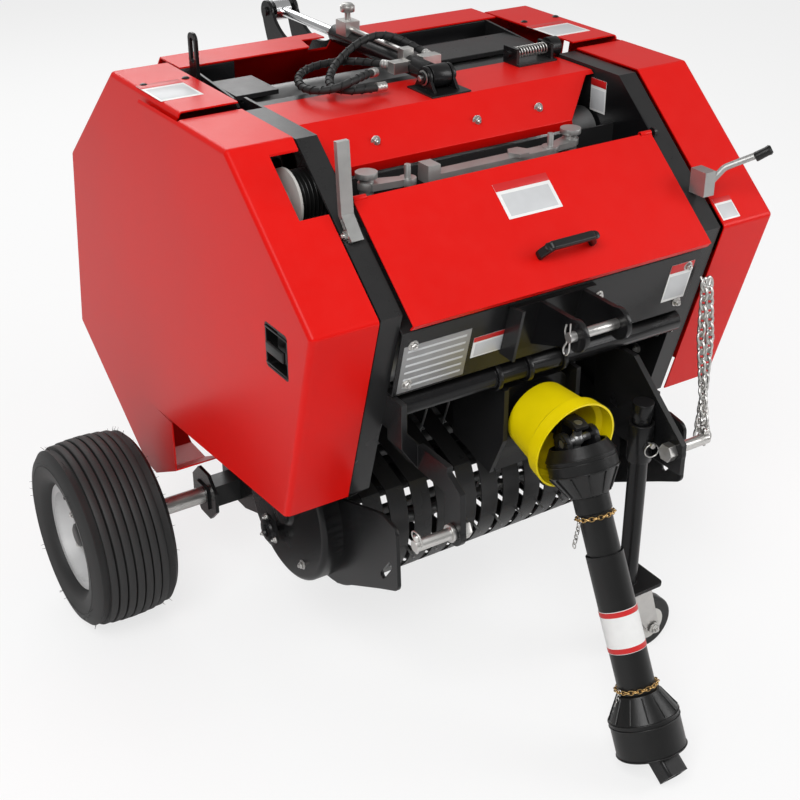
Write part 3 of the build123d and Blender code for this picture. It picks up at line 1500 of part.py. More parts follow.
# ======================================================================
# Jack leg and caster
# ======================================================================
PLATE_Z = 176.0
with BuildPart() as jack_leg:
    with BuildSketch(Plane.XY.offset(PLATE_Z + 8.0)):
        with Locations((JACK_X, JACK_Y)):
            Circle(JACK_TUBE_RADIUS)
            Circle(JACK_TUBE_RADIUS - 4.0, mode=Mode.SUBTRACT)
    extrude(amount=390.0)
    with BuildSketch(Plane.XY.offset(PLATE_Z)):
        with Locations((JACK_X + 10.0, JACK_Y)):
            RectangleRounded(100.0, 90.0, 12.0)
    extrude(amount=8.0)
    with BuildSketch(Plane.XY.offset(PLATE_Z + 398.0)):
        with Locations((JACK_X, JACK_Y)):
            Circle(21.0)
    extrude(amount=30.0)
jack_leg.part.label = "jack_leg"
export_step(jack_leg.part, "parts/jack_leg.step")

with BuildPart() as caster_fork:
    with BuildSketch(Plane.XY.offset(PLATE_Z - 14.0)):
        with Locations((JACK_X, JACK_Y)):
            Circle(34.0)
    extrude(amount=13.5)
    for cheek_y in (-26.0, 22.0):
        with BuildSketch(Plane.XZ.offset(-JACK_Y - cheek_y)):
            with BuildLine():
                Polyline(
                    (JACK_X - 30.0, PLATE_Z - 6.0),
                    (JACK_X + 40.0, PLATE_Z - 6.0),
                    (JACK_X + CASTER_TRAIL + 14.0, CASTER_RADIUS + 6.0),
                    (JACK_X + CASTER_TRAIL + 6.0, CASTER_RADIUS - 14.0),
                    (JACK_X + CASTER_TRAIL - 14.0, CASTER_RADIUS - 6.0),
                    close=True,
                )
            make_face()
        extrude(amount=4.0)
    with BuildSketch(Plane.XZ.offset(-JACK_Y + 30.0)):
        with Locations((JACK_X + CASTER_TRAIL, CASTER_RADIUS)):
            Circle(5.0)
    extrude(amount=-60.0)
caster_fork.part.label = "caster_fork"
export_step(caster_fork.part, "parts/caster_fork.step")

with BuildPart() as caster_wheel:
    with BuildSketch(Plane.XZ.offset(-JACK_Y + 16.0)):
        with Locations((JACK_X + CASTER_TRAIL, CASTER_RADIUS)):
            Circle(CASTER_RADIUS)
            Circle(5.4, mode=Mode.SUBTRACT)
    extrude(amount=-32.0)
caster_wheel.part.label = "caster_wheel"
export_step(caster_wheel.part, "parts/caster_wheel.step")
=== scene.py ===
import json
import math
import random

import bpy
from bpy.props import FloatProperty, FloatVectorProperty, IntProperty, PointerProperty
from mathutils import Matrix, Vector

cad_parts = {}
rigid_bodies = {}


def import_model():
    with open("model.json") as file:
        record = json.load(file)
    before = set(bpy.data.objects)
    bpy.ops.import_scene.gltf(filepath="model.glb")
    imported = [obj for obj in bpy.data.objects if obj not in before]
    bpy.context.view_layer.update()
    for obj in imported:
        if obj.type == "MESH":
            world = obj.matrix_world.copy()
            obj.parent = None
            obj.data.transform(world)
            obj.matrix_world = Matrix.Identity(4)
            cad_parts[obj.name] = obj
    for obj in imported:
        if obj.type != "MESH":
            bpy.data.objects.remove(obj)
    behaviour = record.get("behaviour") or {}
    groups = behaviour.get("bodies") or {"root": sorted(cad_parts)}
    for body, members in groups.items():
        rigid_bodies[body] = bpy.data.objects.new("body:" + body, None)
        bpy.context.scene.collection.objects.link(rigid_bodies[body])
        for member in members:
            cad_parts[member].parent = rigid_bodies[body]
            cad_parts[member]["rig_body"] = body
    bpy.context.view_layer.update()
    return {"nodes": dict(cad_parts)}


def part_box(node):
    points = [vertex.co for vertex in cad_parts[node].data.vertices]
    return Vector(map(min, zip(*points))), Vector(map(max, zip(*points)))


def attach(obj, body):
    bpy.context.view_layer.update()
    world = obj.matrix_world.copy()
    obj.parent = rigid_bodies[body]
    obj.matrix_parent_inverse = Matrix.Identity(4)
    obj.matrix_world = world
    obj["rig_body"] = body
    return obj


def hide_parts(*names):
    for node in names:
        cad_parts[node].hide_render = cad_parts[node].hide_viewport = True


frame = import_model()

bl_info = {
    "name": "Round Baler Finish",
    "version": (1, 0, 0),
    "blender": (4, 5, 0),
    "location": "View3D > Sidebar > Baler",
    "description": "Paints and trims a small round baler and sets its studio",
    "category": "Object",
}

NODES = frame["nodes"]
X, Y, Z = Vector((1, 0, 0)), Vector((0, 1, 0)), Vector((0, 0, 1))
# the ways that the black front panel and the lid face
FRONT_PANEL = (0.0, -0.9675, -0.2528)
LID_PANEL = (0.0, -0.6489, 0.7609)
# how far a label stands off its panel, in metres
PLATE_GAP = 0.0003
# how far outside a point the search for a surface starts, and how far it reaches, in metres
SEARCH_START = 0.045
SEARCH_REACH = 0.1
WHITE = (1.0, 1.0, 1.0)


# ---- Settings ----
def paint(name, description, default):
    """A colour that a user may change."""
    return FloatVectorProperty(
        name=name, description=description, subtype="COLOR", size=3, min=0.0, max=1.0, default=default,
    )


def number(name, description, default, low, high, unit="NONE"):
    """A number that a user may change."""
    return FloatProperty(
        name=name, description=description, default=default, min=low, max=high, unit=unit,
    )


class BalerPaints(bpy.types.PropertyGroup):
    """Colours of the machine's paints and plastics."""

    red: paint("Panel red", "Gloss paint of covers, lid and hood", (0.66, 0.004, 0.002))
    black: paint("Frame black", "Satin paint of plates and brackets", (0.005, 0.005, 0.0055))
    yellow: paint("Guard yellow", "Moulded guard over the input shaft", (0.86, 0.68, 0.0))
    rim: paint("Rim silver", "Paint of the wheel rims", (0.50, 0.50, 0.50))
    plastic: paint("Black plastic", "Shaft guards, latches and grips", (0.006, 0.006, 0.006))


class TrimSizes(bpy.types.PropertyGroup):
    """Sizes of the trim that a user may change."""

    tread_ribs: IntProperty(
        name="Tread ribs", description="Ribs round each tyre's tread", default=7, min=3, max=11,
    )
    groove_depth: number(
        "Groove depth", "Depth of the grooves between tread ribs",
        0.0065, 0.001, 0.02, "LENGTH",
    )
    plate_thickness: number(
        "Plate thickness", "Thickness of the blank label plates",
        0.0008, 0.0002, 0.005, "LENGTH",
    )
    chain_wire: number("Chain wire", "Radius of the safety chain's wire", 0.0029, 0.001, 0.01, "LENGTH")
    edge_round: number(
        "Edge round", "Radius that softens the edges of plates and castings",
        0.0012, 0.0, 0.01, "LENGTH",
    )


class StudioSettings(bpy.types.PropertyGroup):
    """Light and camera of the studio."""

    lens: number("Lens", "Focal length on a 36 mm sensor", 62.7, 20.0, 200.0, "CAMERA")
    key_power: number("Key light", "Power of the main soft box in watts", 170.0, 0.0, 2000.0)
    fill_power: number("Fill light", "Power of the side soft box in watts", 75.0, 0.0, 2000.0)
    sky: number("Surround", "Strength of the even light from all round", 0.36, 0.0, 5.0)
    floor_glow: FloatProperty(
        name="Floor glow", description="Share of plain white mixed into the floor as the camera sees it",
        subtype="FACTOR", default=0.74, min=0.0, max=1.0,
    )


# ---- Shader arithmetic ----
class Wire:
    """A shader value that adds Math nodes as it is used in arithmetic."""

    def __init__(self, graph, socket):
        self.graph = graph
        self.socket = socket

    def _math(self, operation, other):
        return self.graph.add("ShaderNodeMath", {"operation": operation}, self, other)

    def __add__(self, other):
        return self._math("ADD", other)

    def __mul__(self, other):
        return self._math("MULTIPLY", other)

    def above(self, edge, softness):
        """0 below the edge and 1 above it, over a soft band."""
        return self.graph.add(
            "ShaderNodeMapRange", {"interpolation_type": "SMOOTHSTEP"},
            Value=self, **{"From Min": edge - softness, "From Max": edge + softness},
        )


class Graph:
    """A node tree, with short ways to add nodes and fill their inputs."""

    def __init__(self, tree):
        self.tree = tree

    def add(self, kind, settings, *values, out=0, **inputs):
        """Add a node, set it up, fill its inputs, and return one output."""
        node = self.tree.nodes.new(kind)
        for key, value in settings.items():
            setattr(node, key, value)
        for index, value in enumerate(values):
            self.fill(node.inputs[index], value)
        for key, value in inputs.items():
            self.fill(node.inputs[key], value)
        return Wire(self, node.outputs[out])

    def fill(self, socket, value):
        """Link a shader value to an input, or set the input to a plain value."""
        if isinstance(value, Wire):
            self.tree.links.new(value.socket, socket)
        elif isinstance(value, (tuple, list)) and len(socket.default_value) == 4 and len(value) == 3:
            socket.default_value = (*value, 1.0)
        else:
            socket.default_value = value


class Finish(Graph):
    """A material's node graph."""

    def __init__(self, name):
        self.material = bpy.data.materials.new(name)
        self.material.use_nodes = True
        super().__init__(self.material.node_tree)
        self.shader = self.tree.nodes["Principled BSDF"]

    def noise(self, scale, detail, roughness=0.5):
        """Cloudy noise fixed to the piece."""
        spot = self.add("ShaderNodeTexCoord", {}, out="Object")
        return self.add(
            "ShaderNodeTexNoise", {}, Vector=spot, Scale=scale, Detail=detail, Roughness=roughness,
        )

    def blend(self, share, first, second):
        """Mix two colours, by the Mix node's colour sockets."""
        node = self.tree.nodes.new("ShaderNodeMix")
        node.data_type = "RGBA"
        self.fill(node.inputs[0], share)
        self.fill(node.inputs[6], first)
        self.fill(node.inputs[7], second)
        return Wire(self, node.outputs[2])

    def upward(self):
        """How much a surface faces up, from 0 to 1."""
        normal = self.add("ShaderNodeNewGeometry", {}, out="Normal")
        height = self.add("ShaderNodeSeparateXYZ", {}, Vector=normal, out=2)
        return height.above(0.55, 0.4)

    def worn(self, sharpness=0.06):
        """Where an edge sticks out, from 0 to 1."""
        point = self.add("ShaderNodeNewGeometry", {}, out="Pointiness")
        return point.above(0.5 + sharpness, 0.03)

    def bump(self, height, distance):
        return self.add("ShaderNodeBump", {}, Height=height, Distance=distance, out="Normal")

    def set(self, **sockets):
        for key, value in sockets.items():
            self.fill(self.shader.inputs[key.replace("_", " ")], value)
        return self.material


def shade(color, factor):
    return tuple(min(1.0, channel * factor) for channel in color)


def gloss_paint(name, color):
    """Sheet painted in a smooth coat with a faint orange peel and a little dust on top."""
    f = Finish(name)
    cloud = f.noise(3.5, 3.0)
    peel = f.noise(420.0, 1.0)
    dust = f.noise(28.0, 5.0, 0.65) * f.upward()
    tone = f.blend(cloud, shade(color, 0.90), shade(color, 1.08))
    return f.set(
        Base_Color=f.blend(dust * 0.03, tone, (0.45, 0.30, 0.26)),
        Roughness=cloud * 0.06 + 0.27 + dust * 0.10,
        Specular_IOR_Level=0.16,
        Normal=f.bump(peel, 0.00006),
    )


def satin_paint(name, color, roughness=0.18, specular=0.27):
    """Powder coat with a fine grain, worn a little brighter along its edges."""
    f = Finish(name)
    cloud = f.noise(9.0, 4.0)
    grain = f.noise(650.0, 2.0)
    dust = f.noise(36.0, 6.0, 0.7) * f.upward()
    tone = f.blend(cloud, shade(color, 0.75), shade(color, 1.5))
    edge = f.blend(f.worn() * 0.2, tone, (0.07, 0.07, 0.07))
    return f.set(
        Base_Color=f.blend(dust * 0.03, edge, (0.20, 0.18, 0.16)),
        Roughness=cloud * 0.14 + roughness + dust * 0.12,
        Specular_IOR_Level=specular,
        Normal=f.bump(grain, 0.00012),
    )


def bare_metal(name, color, roughness, metallic):
    """Plated or bright metal with blotches and a fine speckle."""
    f = Finish(name)
    cloud = f.noise(24.0, 4.0, 0.6)
    speckle = f.noise(160.0, 2.0)
    return f.set(
        Base_Color=f.blend(cloud, shade(color, 0.72), shade(color, 1.12)),
        Metallic=metallic,
        Roughness=cloud * 0.18 + speckle * 0.1 + (roughness - 0.12),
        Normal=f.bump(speckle, 0.0001),
    )


def moulded_plastic(name, color, roughness=0.28, grain_height=0.00015):
    """Moulded plastic with a fine grain."""
    f = Finish(name)
    grain = f.noise(900.0, 2.0)
    cloud = f.noise(14.0, 3.0)
    return f.set(
        Base_Color=f.blend(cloud, shade(color, 0.88), shade(color, 1.12)),
        Roughness=cloud * 0.12 + roughness,
        Specular_IOR_Level=0.36,
        Normal=f.bump(grain, grain_height),
    )


def tyre_rubber(name):
    """Tyre rubber, a little paler along its edges."""
    f = Finish(name)
    cloud = f.noise(12.0, 5.0, 0.6)
    grain = f.noise(700.0, 3.0)
    tone = f.blend(cloud, (0.010, 0.010, 0.010), (0.022, 0.022, 0.022))
    return f.set(
        Base_Color=f.blend(f.worn(0.04) * 0.5, tone, (0.05, 0.05, 0.05)),
        Roughness=cloud * 0.16 + 0.5,
        Specular_IOR_Level=0.35,
        Normal=f.bump(grain, 0.0002),
    )


def label_print(name, color):
    """Printed film, faintly mottled."""
    f = Finish(name)
    cloud = f.noise(60.0, 2.0)
    return f.set(
        Base_Color=f.blend(cloud, shade(color, 0.94), shade(color, 1.04)),
        Roughness=cloud * 0.1 + 0.36,
    )


def make_finishes():
    """Build every finish once and return them by name."""
    paints = bpy.context.scene.baler_paints
    black, plastic = tuple(paints.black), tuple(paints.plastic)
    return {
        "red": gloss_paint("red_paint", tuple(paints.red)),
        "black": satin_paint("black_paint", black),
        "yellow": moulded_plastic("yellow_guard", tuple(paints.yellow), 0.35),
        "plastic": moulded_plastic("black_plastic", plastic),
        "pale": moulded_plastic("pale_plastic", (0.60, 0.59, 0.56), 0.4),
        "zinc": bare_metal("zinc", (0.62, 0.61, 0.59), 0.33, 0.95),
        "cast": bare_metal("cast_metal", (0.42, 0.42, 0.41), 0.45, 0.8),
        "steel": bare_metal("steel", (0.30, 0.30, 0.30), 0.4, 0.85),
        "chrome": bare_metal("chrome", (0.80, 0.80, 0.81), 0.17, 1.0),
        "brass": bare_metal("brass", (0.62, 0.40, 0.16), 0.3, 1.0),
        "rim": satin_paint("rim_paint", tuple(paints.rim), 0.3, 0.5),
        "tyre": tyre_rubber("tyre_rubber"),
        "rubber": moulded_plastic("hose_rubber", (0.016, 0.016, 0.016), 0.55, 0.0002),
        "white_label": label_print("white_label", (0.78, 0.78, 0.77)),
        "red_label": label_print("red_label", (0.55, 0.012, 0.012)),
        "grey_label": bare_metal("grey_label", (0.33, 0.33, 0.33), 0.45, 0.6),
        "pale_label": label_print("pale_label", (0.55, 0.56, 0.57)),
    }


# the nodes of the frame that take each finish
NODE_FINISH = {
    "red": (
        "hood", "lid", "gate_shell", "front_cover_left", "front_cover_right",
        "rear_cover_left", "rear_cover_right",
    ),
    "black": (
        "side_plate_left", "side_plate_right", "cover_hinges", "twine_trough", "cross_panels",
        "drive_tube", "gearbox", "gearbox_beam", "axle_beam", "pickup_bands",
        "pickup_frame", "pickup_drive_cover", "top_link_bracket", "lower_links",
        "jack_leg", "hood_brackets", "gate_plates", "gate_deck", "lift_lugs",
        "lift_barrel", "input_yoke", "shaft_yoke", "lower_yoke", "end_yoke", "pickup_reel",
    ),
    "steel": ("front_rollers", "gate_rollers", "pickup_tines", "joint_cross", "end_cross"),
    "zinc": ("stub_axles", "hitch_pins", "caster_fork", "hydraulic_fittings"),
    "cast": ("twine_gear", "side_levers"),
    "chrome": ("lift_rod",),
    "pale": ("drum_disc",),
    "yellow": ("pto_guard",),
    "plastic": (
        "cover_latch_left", "cover_latch_right", "lid_handle", "shaft_upper", "shaft_lower",
        "caster_wheel", "twine_drum",
    ),
    "rim": ("rim_left", "rim_right"),
    "tyre": ("tyre_left", "tyre_right"),
    "rubber": ("hose_1", "hose_2"),
}
# nodes whose sharp edges are rounded
SOFT_EDGED = (
    "lid_handle", "lower_links", "top_link_bracket", "twine_gear", "side_levers", "hood_brackets",
    "lift_lugs", "gearbox_beam", "end_yoke", "input_yoke", "cover_latch_left", "cover_latch_right",
    "hitch_pins", "caster_fork", "caster_wheel", "jack_leg", "hydraulic_fittings", "lid", "hood",
    "pickup_frame", "cross_panels", "axle_beam", "shaft_yoke", "drive_tube", "lift_barrel",
    "gate_plates", "gate_deck",
)
# the nodes that take a radius of their own, in metres
EDGE_ROUND = {"lid_handle": 0.0045, "caster_wheel": 0.006, "lid": 0.0014, "hood": 0.0014}

FINISHES = {}


# ---- Modelling steps ----
def mm(*values):
    """A point or size given in millimetres."""
    return Vector([value * 0.001 for value in values])


def only(*objects):
    """Select just these objects, the first one active."""
    bpy.ops.object.select_all(action="DESELECT")
    for obj in objects:
        obj.select_set(True)
    bpy.context.view_layer.objects.active = objects[0]


def facing(point, towards, across=X):
    """The place of a piece at a point whose own Z looks one way and whose own X lies near another."""
    z_axis = Vector(towards).normalized()
    x_axis = Vector(across)
    x_axis = x_axis - x_axis.dot(z_axis) * z_axis
    if x_axis.length < 1e-4:
        x_axis = z_axis.orthogonal()
    x_axis.normalize()
    y_axis = z_axis.cross(x_axis)
    turn = Matrix((x_axis, y_axis, z_axis)).transposed().to_4x4()
    return Matrix.Translation(point) @ turn


def settle(obj, matrix):
    """Put a piece in its place and leave that place in its mesh."""
    only(obj)
    obj.matrix_world = matrix
    bpy.ops.object.transform_apply(location=True, rotation=True, scale=True)
    return obj


def smooth(obj, angle=35.0):
    only(obj)
    bpy.ops.object.shade_smooth_by_angle(angle=math.radians(angle))
    return obj


def turned(profile, sides=48, closed=False):
    """Turn a (radius, height) profile, in metres, about +Z. A closed profile comes back to its start."""
    bpy.ops.object.select_all(action="DESELECT")
    radius, height = profile[0]
    bpy.ops.mesh.primitive_circle_add(
        vertices=sides, radius=radius, fill_type="NOTHING" if closed else "NGON",
        location=(0.0, 0.0, height),
    )
    obj = bpy.context.object
    bpy.ops.object.transform_apply(location=True, rotation=True, scale=True)
    bpy.ops.object.mode_set(mode="EDIT")
    bpy.ops.mesh.select_all(action="SELECT")
    for next_radius, next_height in (profile[1:] + profile[:1] if closed else profile[1:]):
        step = {"value": (0.0, 0.0, next_height - height)}
        bpy.ops.mesh.extrude_region_move(TRANSFORM_OT_translate=step)
        grow = next_radius / radius
        bpy.ops.transform.resize(value=(grow, grow, 1.0), center_override=(0.0, 0.0, next_height))
        radius, height = next_radius, next_height
    bpy.ops.mesh.select_all(action="SELECT")
    bpy.ops.mesh.remove_doubles(threshold=1e-6)
    bpy.ops.mesh.normals_make_consistent(inside=False)
    bpy.ops.object.mode_set(mode="OBJECT")
    return smooth(obj)


def lathe(profile, sides=48):
    """Turn a (radius, height) profile, in millimetres, about +Z."""
    return turned([(radius * 0.001, height * 0.001) for radius, height in profile], sides)


def block(size, bevel, segments=2):
    """A block of that size about the origin, its edges rounded."""
    bpy.ops.object.select_all(action="DESELECT")
    bpy.ops.mesh.primitive_cube_add(size=1.0, scale=size)
    obj = bpy.context.object
    bpy.ops.object.transform_apply(location=True, rotation=True, scale=True)
    bpy.ops.object.mode_set(mode="EDIT")
    bpy.ops.mesh.select_all(action="SELECT")
    bpy.ops.mesh.bevel(offset=bevel, segments=segments, affect="EDGES")
    bpy.ops.object.mode_set(mode="OBJECT")
    return smooth(obj)


def ring(major, minor, sides, section=8):
    """A round wire ring about +Z."""
    bpy.ops.object.select_all(action="DESELECT")
    bpy.ops.mesh.primitive_torus_add(
        major_radius=major, minor_radius=minor, major_segments=sides, minor_segments=section,
    )
    return smooth(bpy.context.object, 60.0)


def chain_link(major, wire, stretch, sides=14, section=6):
    """A link of chain about the origin, stretched along X."""
    return settle(ring(major, wire, sides, section), Matrix.Diagonal((stretch, 1.0, 1.0, 1.0)))


def curve_along(name, points, fineness):
    """A smooth curve led by control points."""
    curve = bpy.data.curves.new(name, "CURVE")
    curve.dimensions = "3D"
    spline = curve.splines.new("NURBS")
    spline.points.add(len(points) - 1)
    for knot, point in zip(spline.points, points):
        knot.co = (*point, 1.0)
    spline.order_u = 3
    spline.use_endpoint_u = True
    spline.resolution_u = fineness
    line = bpy.data.objects.new(name, curve)
    bpy.context.scene.collection.objects.link(line)
    return line


def thicken(line, radius, roundness):
    """Give a curve a round section and closed ends."""
    line.data.bevel_depth = radius
    line.data.bevel_resolution = roundness
    line.data.use_fill_caps = True


def wire_form(points, radius, roundness=3):
    """A bent round wire led by control points, as a mesh with closed ends."""
    wire = curve_along("wire", points, 6)
    thicken(wire, radius, roundness)
    only(wire)
    bpy.ops.object.convert(target="MESH")
    return smooth(bpy.context.object, 50.0)


def copies(pattern, places):
    """Copy a piece, each copy with its own mesh, to every place, and join them."""
    made = []
    for matrix in places:
        twin = pattern.copy()
        twin.data = pattern.data.copy()
        twin.data.transform(matrix)
        bpy.context.scene.collection.objects.link(twin)
        made.append(twin)
    bpy.data.objects.remove(pattern)
    only(*made)
    if len(made) > 1:
        bpy.ops.object.join()
    return made[0]


def joined(*objects):
    only(*objects)
    bpy.ops.object.join()
    return objects[0]


def fit(obj, name, body, finish, replaces=()):
    """Name a finished piece, give it its finish, and let it ride on its body."""
    obj.name = name
    obj.data.name = name
    obj.data.materials.clear()
    obj.data.materials.append(FINISHES[finish])
    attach(obj, body)
    if replaces:
        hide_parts(*replaces)
    return obj


def hexagon(across, height):
    """A hexagon head with a washer face and a chamfered top."""
    radius = across / math.sqrt(3.0)
    head = turned(
        ((radius, 0.0), (radius, height * 0.82), (radius * 0.86, height)), sides=6,
    )
    washer = turned(
        ((across * 0.78, -0.0004), (across * 0.78, 0.0012), (across * 0.74, 0.0016)), sides=24,
    )
    tip = turned(
        ((across * 0.3, height * 0.8), (across * 0.3, height + 0.003), (across * 0.22, height + 0.0042)),
        sides=16,
    )
    return joined(head, washer, tip)


def seat(point, towards, body, across=X, lift=0.0):
    """The place where a body's surface is first met from outside, on the line through a point in mm."""
    towards = Vector(towards).normalized()
    start = mm(*point) + towards * SEARCH_START
    spots = []
    for node in NODES.values():
        if node.get("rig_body") == body:
            hit, where, _, _ = node.ray_cast(start, -towards, distance=SEARCH_REACH)
            if hit:
                spots.append(where)
    if not spots:
        raise RuntimeError(f"no surface of {body} lies under {point}")
    nearest = min(spots, key=lambda spot: (spot - start).length)
    return facing(nearest + towards * lift, towards, across)


# ---- Steps that a user runs ----
class TrimStep(bpy.types.Operator):
    """One step of trimming the baler, which builds its own pieces"""

    bl_idname = "baler.trim_step"
    bl_label = "Trim step"

    def build(self, trim):
        raise NotImplementedError

    def execute(self, context):
        bpy.ops.object.select_all(action="DESELECT")
        self.build(context.scene.baler_trim)
        return {"FINISHED"}


class PaintMachine(TrimStep):
    """Give every part of the frame its paint, metal or plastic, and soften its edges"""

    bl_idname = "baler.paint_machine"
    bl_label = "Paint machine"

    def build(self, trim):
        FINISHES.update(make_finishes())
        for finish, names in NODE_FINISH.items():
            for name in names:
                mesh = NODES[name].data
                mesh.materials.clear()
                mesh.materials.append(FINISHES[finish])
        for name in SOFT_EDGED:
            self.soften(NODES[name], EDGE_ROUND.get(name, trim.edge_round))

    def soften(self, node, radius):
        weld = node.modifiers.new("weld", "WELD")
        weld.merge_threshold = 1e-5
        flat = node.modifiers.new("merge flat faces", "DECIMATE")
        flat.decimate_type = "DISSOLVE"
        flat.angle_limit = math.radians(1.0)
        round_off = node.modifiers.new("round edges", "BEVEL")
        round_off.limit_method = "ANGLE"
        round_off.angle_limit = math.radians(38.0)
        round_off.width = radius
        round_off.segments = 2
        round_off.harden_normals = True


class AddLabels(TrimStep):
    """Add the blank label plates and the blank name plate"""

    bl_idname = "baler.add_labels"
    bl_label = "Labels"

    # centre (mm), the way it faces, the way its width runs, width and height (mm), body
    plates = (
        ((-461.0, 243.0, 1152.0), Z, X, 85.0, 115.0, "tailgate"),
        ((428.0, 214.0, 1152.0), Z, X, 94.0, 100.0, "tailgate"),
        ((0.0, -252.0, 1006.8), LID_PANEL, X, 120.0, 73.0, "twine_lid"),
        ((412.0, -343.0, 929.0), (0.0, -0.650, 0.760), X, 44.0, 48.0, "door_right"),
        ((298.0, -348.0, 804.0), FRONT_PANEL, X, 58.0, 88.0, "frame"),
        ((-133.0, -344.0, 790.0), FRONT_PANEL, X, 95.0, 46.0, "frame"),
        ((337.8, -35.0, 1082.0), -X, -Y, 46.0, 66.0, "frame"),
    )

    # stem of the name, shares of the plate's width and height, rounding in metres,
    # shift as a share of the height, lift as a share of the thickness, finish
    layers = (
        ("label", 1.0, 1.0, 0.0003, 0.0, 0.0, "white_label"),
        ("label_band", 1.0, 0.22, 0.0003, 0.39, 0.7, "red_label"),
        ("label_field", 0.88, 0.62, 0.0002, -0.12, 0.4, "pale_label"),
    )

    def build(self, trim):
        thick = trim.plate_thickness
        for number, (centre, towards, across, width, height, body) in enumerate(self.plates, 1):
            place = seat(centre, towards, body, across, PLATE_GAP)
            wide, tall = width * 0.001, height * 0.001
            for stem, wide_share, tall_share, rounding, shift, lift, finish in self.layers:
                layer = block((wide * wide_share, tall * tall_share, thick), rounding)
                settle(layer, place @ Matrix.Translation((0.0, tall * shift, thick * lift)))
                fit(layer, f"{stem}_{number}", body, finish)
        place = seat((-260.0, -343.0, 786.0), FRONT_PANEL, "frame", X, PLATE_GAP)
        plate = settle(block((0.140, 0.105, 0.0012), 0.0004), place)
        rows = copies(block((0.122, 0.0045, 0.0012), 0.0002), [
            place @ Matrix.Translation(mm(0.0, 40.0 - 16.0 * row, 0.4)) for row in range(6)])
        fit(plate, "name_plate", "frame", "grey_label")
        fit(rows, "name_plate_rows", "frame", "pale_label")


class AddBolts(TrimStep):
    """Add hexagon bolts, nuts and small screws"""

    bl_idname = "baler.add_bolts"
    bl_label = "Bolts"

    # body, width across flats (mm), the way the heads face, their places (mm)
    heads = (
        ("frame", 13.0, -X, ((338.0, -261.0, 650.0), (338.0, -297.0, 674.0), (338.0, -210.0, 592.0))),
        ("frame", 13.0, -Y, ((168.0, -90.0, 1092.0), (23.0, -90.0, 1092.0), (-200.0, -90.0, 1092.0))),
        ("frame", 13.0, FRONT_PANEL, (
            (-312.0, -352.0, 838.0), (312.0, -352.0, 838.0), (-312.0, -338.0, 752.0),
            (312.0, -338.0, 752.0), (95.0, -345.0, 830.0), (95.0, -340.0, 764.0))),
        ("frame", 13.0, -X, (
            (-408.0, -100.0, 440.0), (-408.0, 80.0, 440.0), (-408.0, -80.0, 250.0),
            (-408.0, 60.0, 250.0))),
        ("frame", 17.0, -X, ((-380.0, 300.0, 300.0), (-380.0, 370.0, 300.0))),
        ("frame", 17.0, X, ((380.0, 300.0, 300.0), (380.0, 370.0, 300.0))),
        ("frame", 13.0, -Y, (
            (-40.0, -330.0, 560.0), (40.0, -330.0, 560.0), (-40.0, -330.0, 630.0),
            (40.0, -330.0, 630.0))),
        ("tailgate", 13.0, Y, ((0.0, 641.0, 1000.0),)),
    )
    # the screws that hold each cover's top flange (mm)
    flange_screws = ((-488.0, 300.0, 1152.0), (488.0, 300.0, 1152.0), (-402.0, 300.0, 1152.0),
                     (402.0, 300.0, 1152.0))

    def build(self, trim):
        sets = {}
        for body, across, towards, points in self.heads:
            places = sets.setdefault((across, body), [])
            places += [seat(point, towards, body) for point in points]
        for (across, body), places in sets.items():
            head = hexagon(across * 0.001, across * 0.00055)
            fit(copies(head, places), f"bolts_{body}_{int(across)}", body, "zinc")
        dome = lathe(((7.5, 0.0), (7.2, 1.4), (4.8, 3.0), (1.4, 3.6)), 20)
        places = [seat(point, Z, "tailgate") for point in self.flange_screws]
        fit(copies(dome, places), "cover_screws", "tailgate", "plastic")


class AddPins(TrimStep):
    """Add the linch pins, the top link's clip and the nuts on the cylinder's pin"""

    bl_idname = "baler.add_pins"
    bl_label = "Pins and clips"

    def build(self, trim):
        for side_name, x in (("left", -378.0), ("right", 291.0)):
            pin = self.linch_pin(facing(mm(x, -471.0, 518.0), Z))
            fit(pin, f"linch_pin_{side_name}", "frame", "zinc")
        clip = wire_form([mm(-62.0, y, z) for y, z in (
            (-467.0, 856.0), (-467.0, 838.0), (-467.0, 822.0), (-467.0, 802.0), (-458.0, 790.0),
            (-450.0, 796.0), (-452.0, 808.0), (-461.0, 818.0), (-455.0, 829.0), (-452.0, 840.0),
            (-456.0, 850.0),
        )], 0.0018)
        fit(clip, "top_link_clip", "frame", "zinc")
        nut = hexagon(0.019, 0.0055)
        nuts = copies(nut, [facing(mm(side * 31.0, 42.0, 1157.0), X * side) for side in (-1, 1)])
        fit(nuts, "cylinder_pin_nuts", "frame", "zinc")

    def linch_pin(self, place):
        """A linch pin through its hole, with the sprung ring folded over the end."""
        stem = lathe(((2.6, -16.0), (3.4, -14.0), (3.4, 10.0), (6.0, 12.0), (6.0, 20.0), (4.5, 22.0)), 20)
        loop = ring(0.015, 0.0015, 32)
        fold = Matrix.Rotation(math.radians(78.0), 4, "Y")
        settle(loop, Matrix.Translation((0.0, 0.0, 0.014)) @ fold)
        return settle(joined(stem, loop), place)


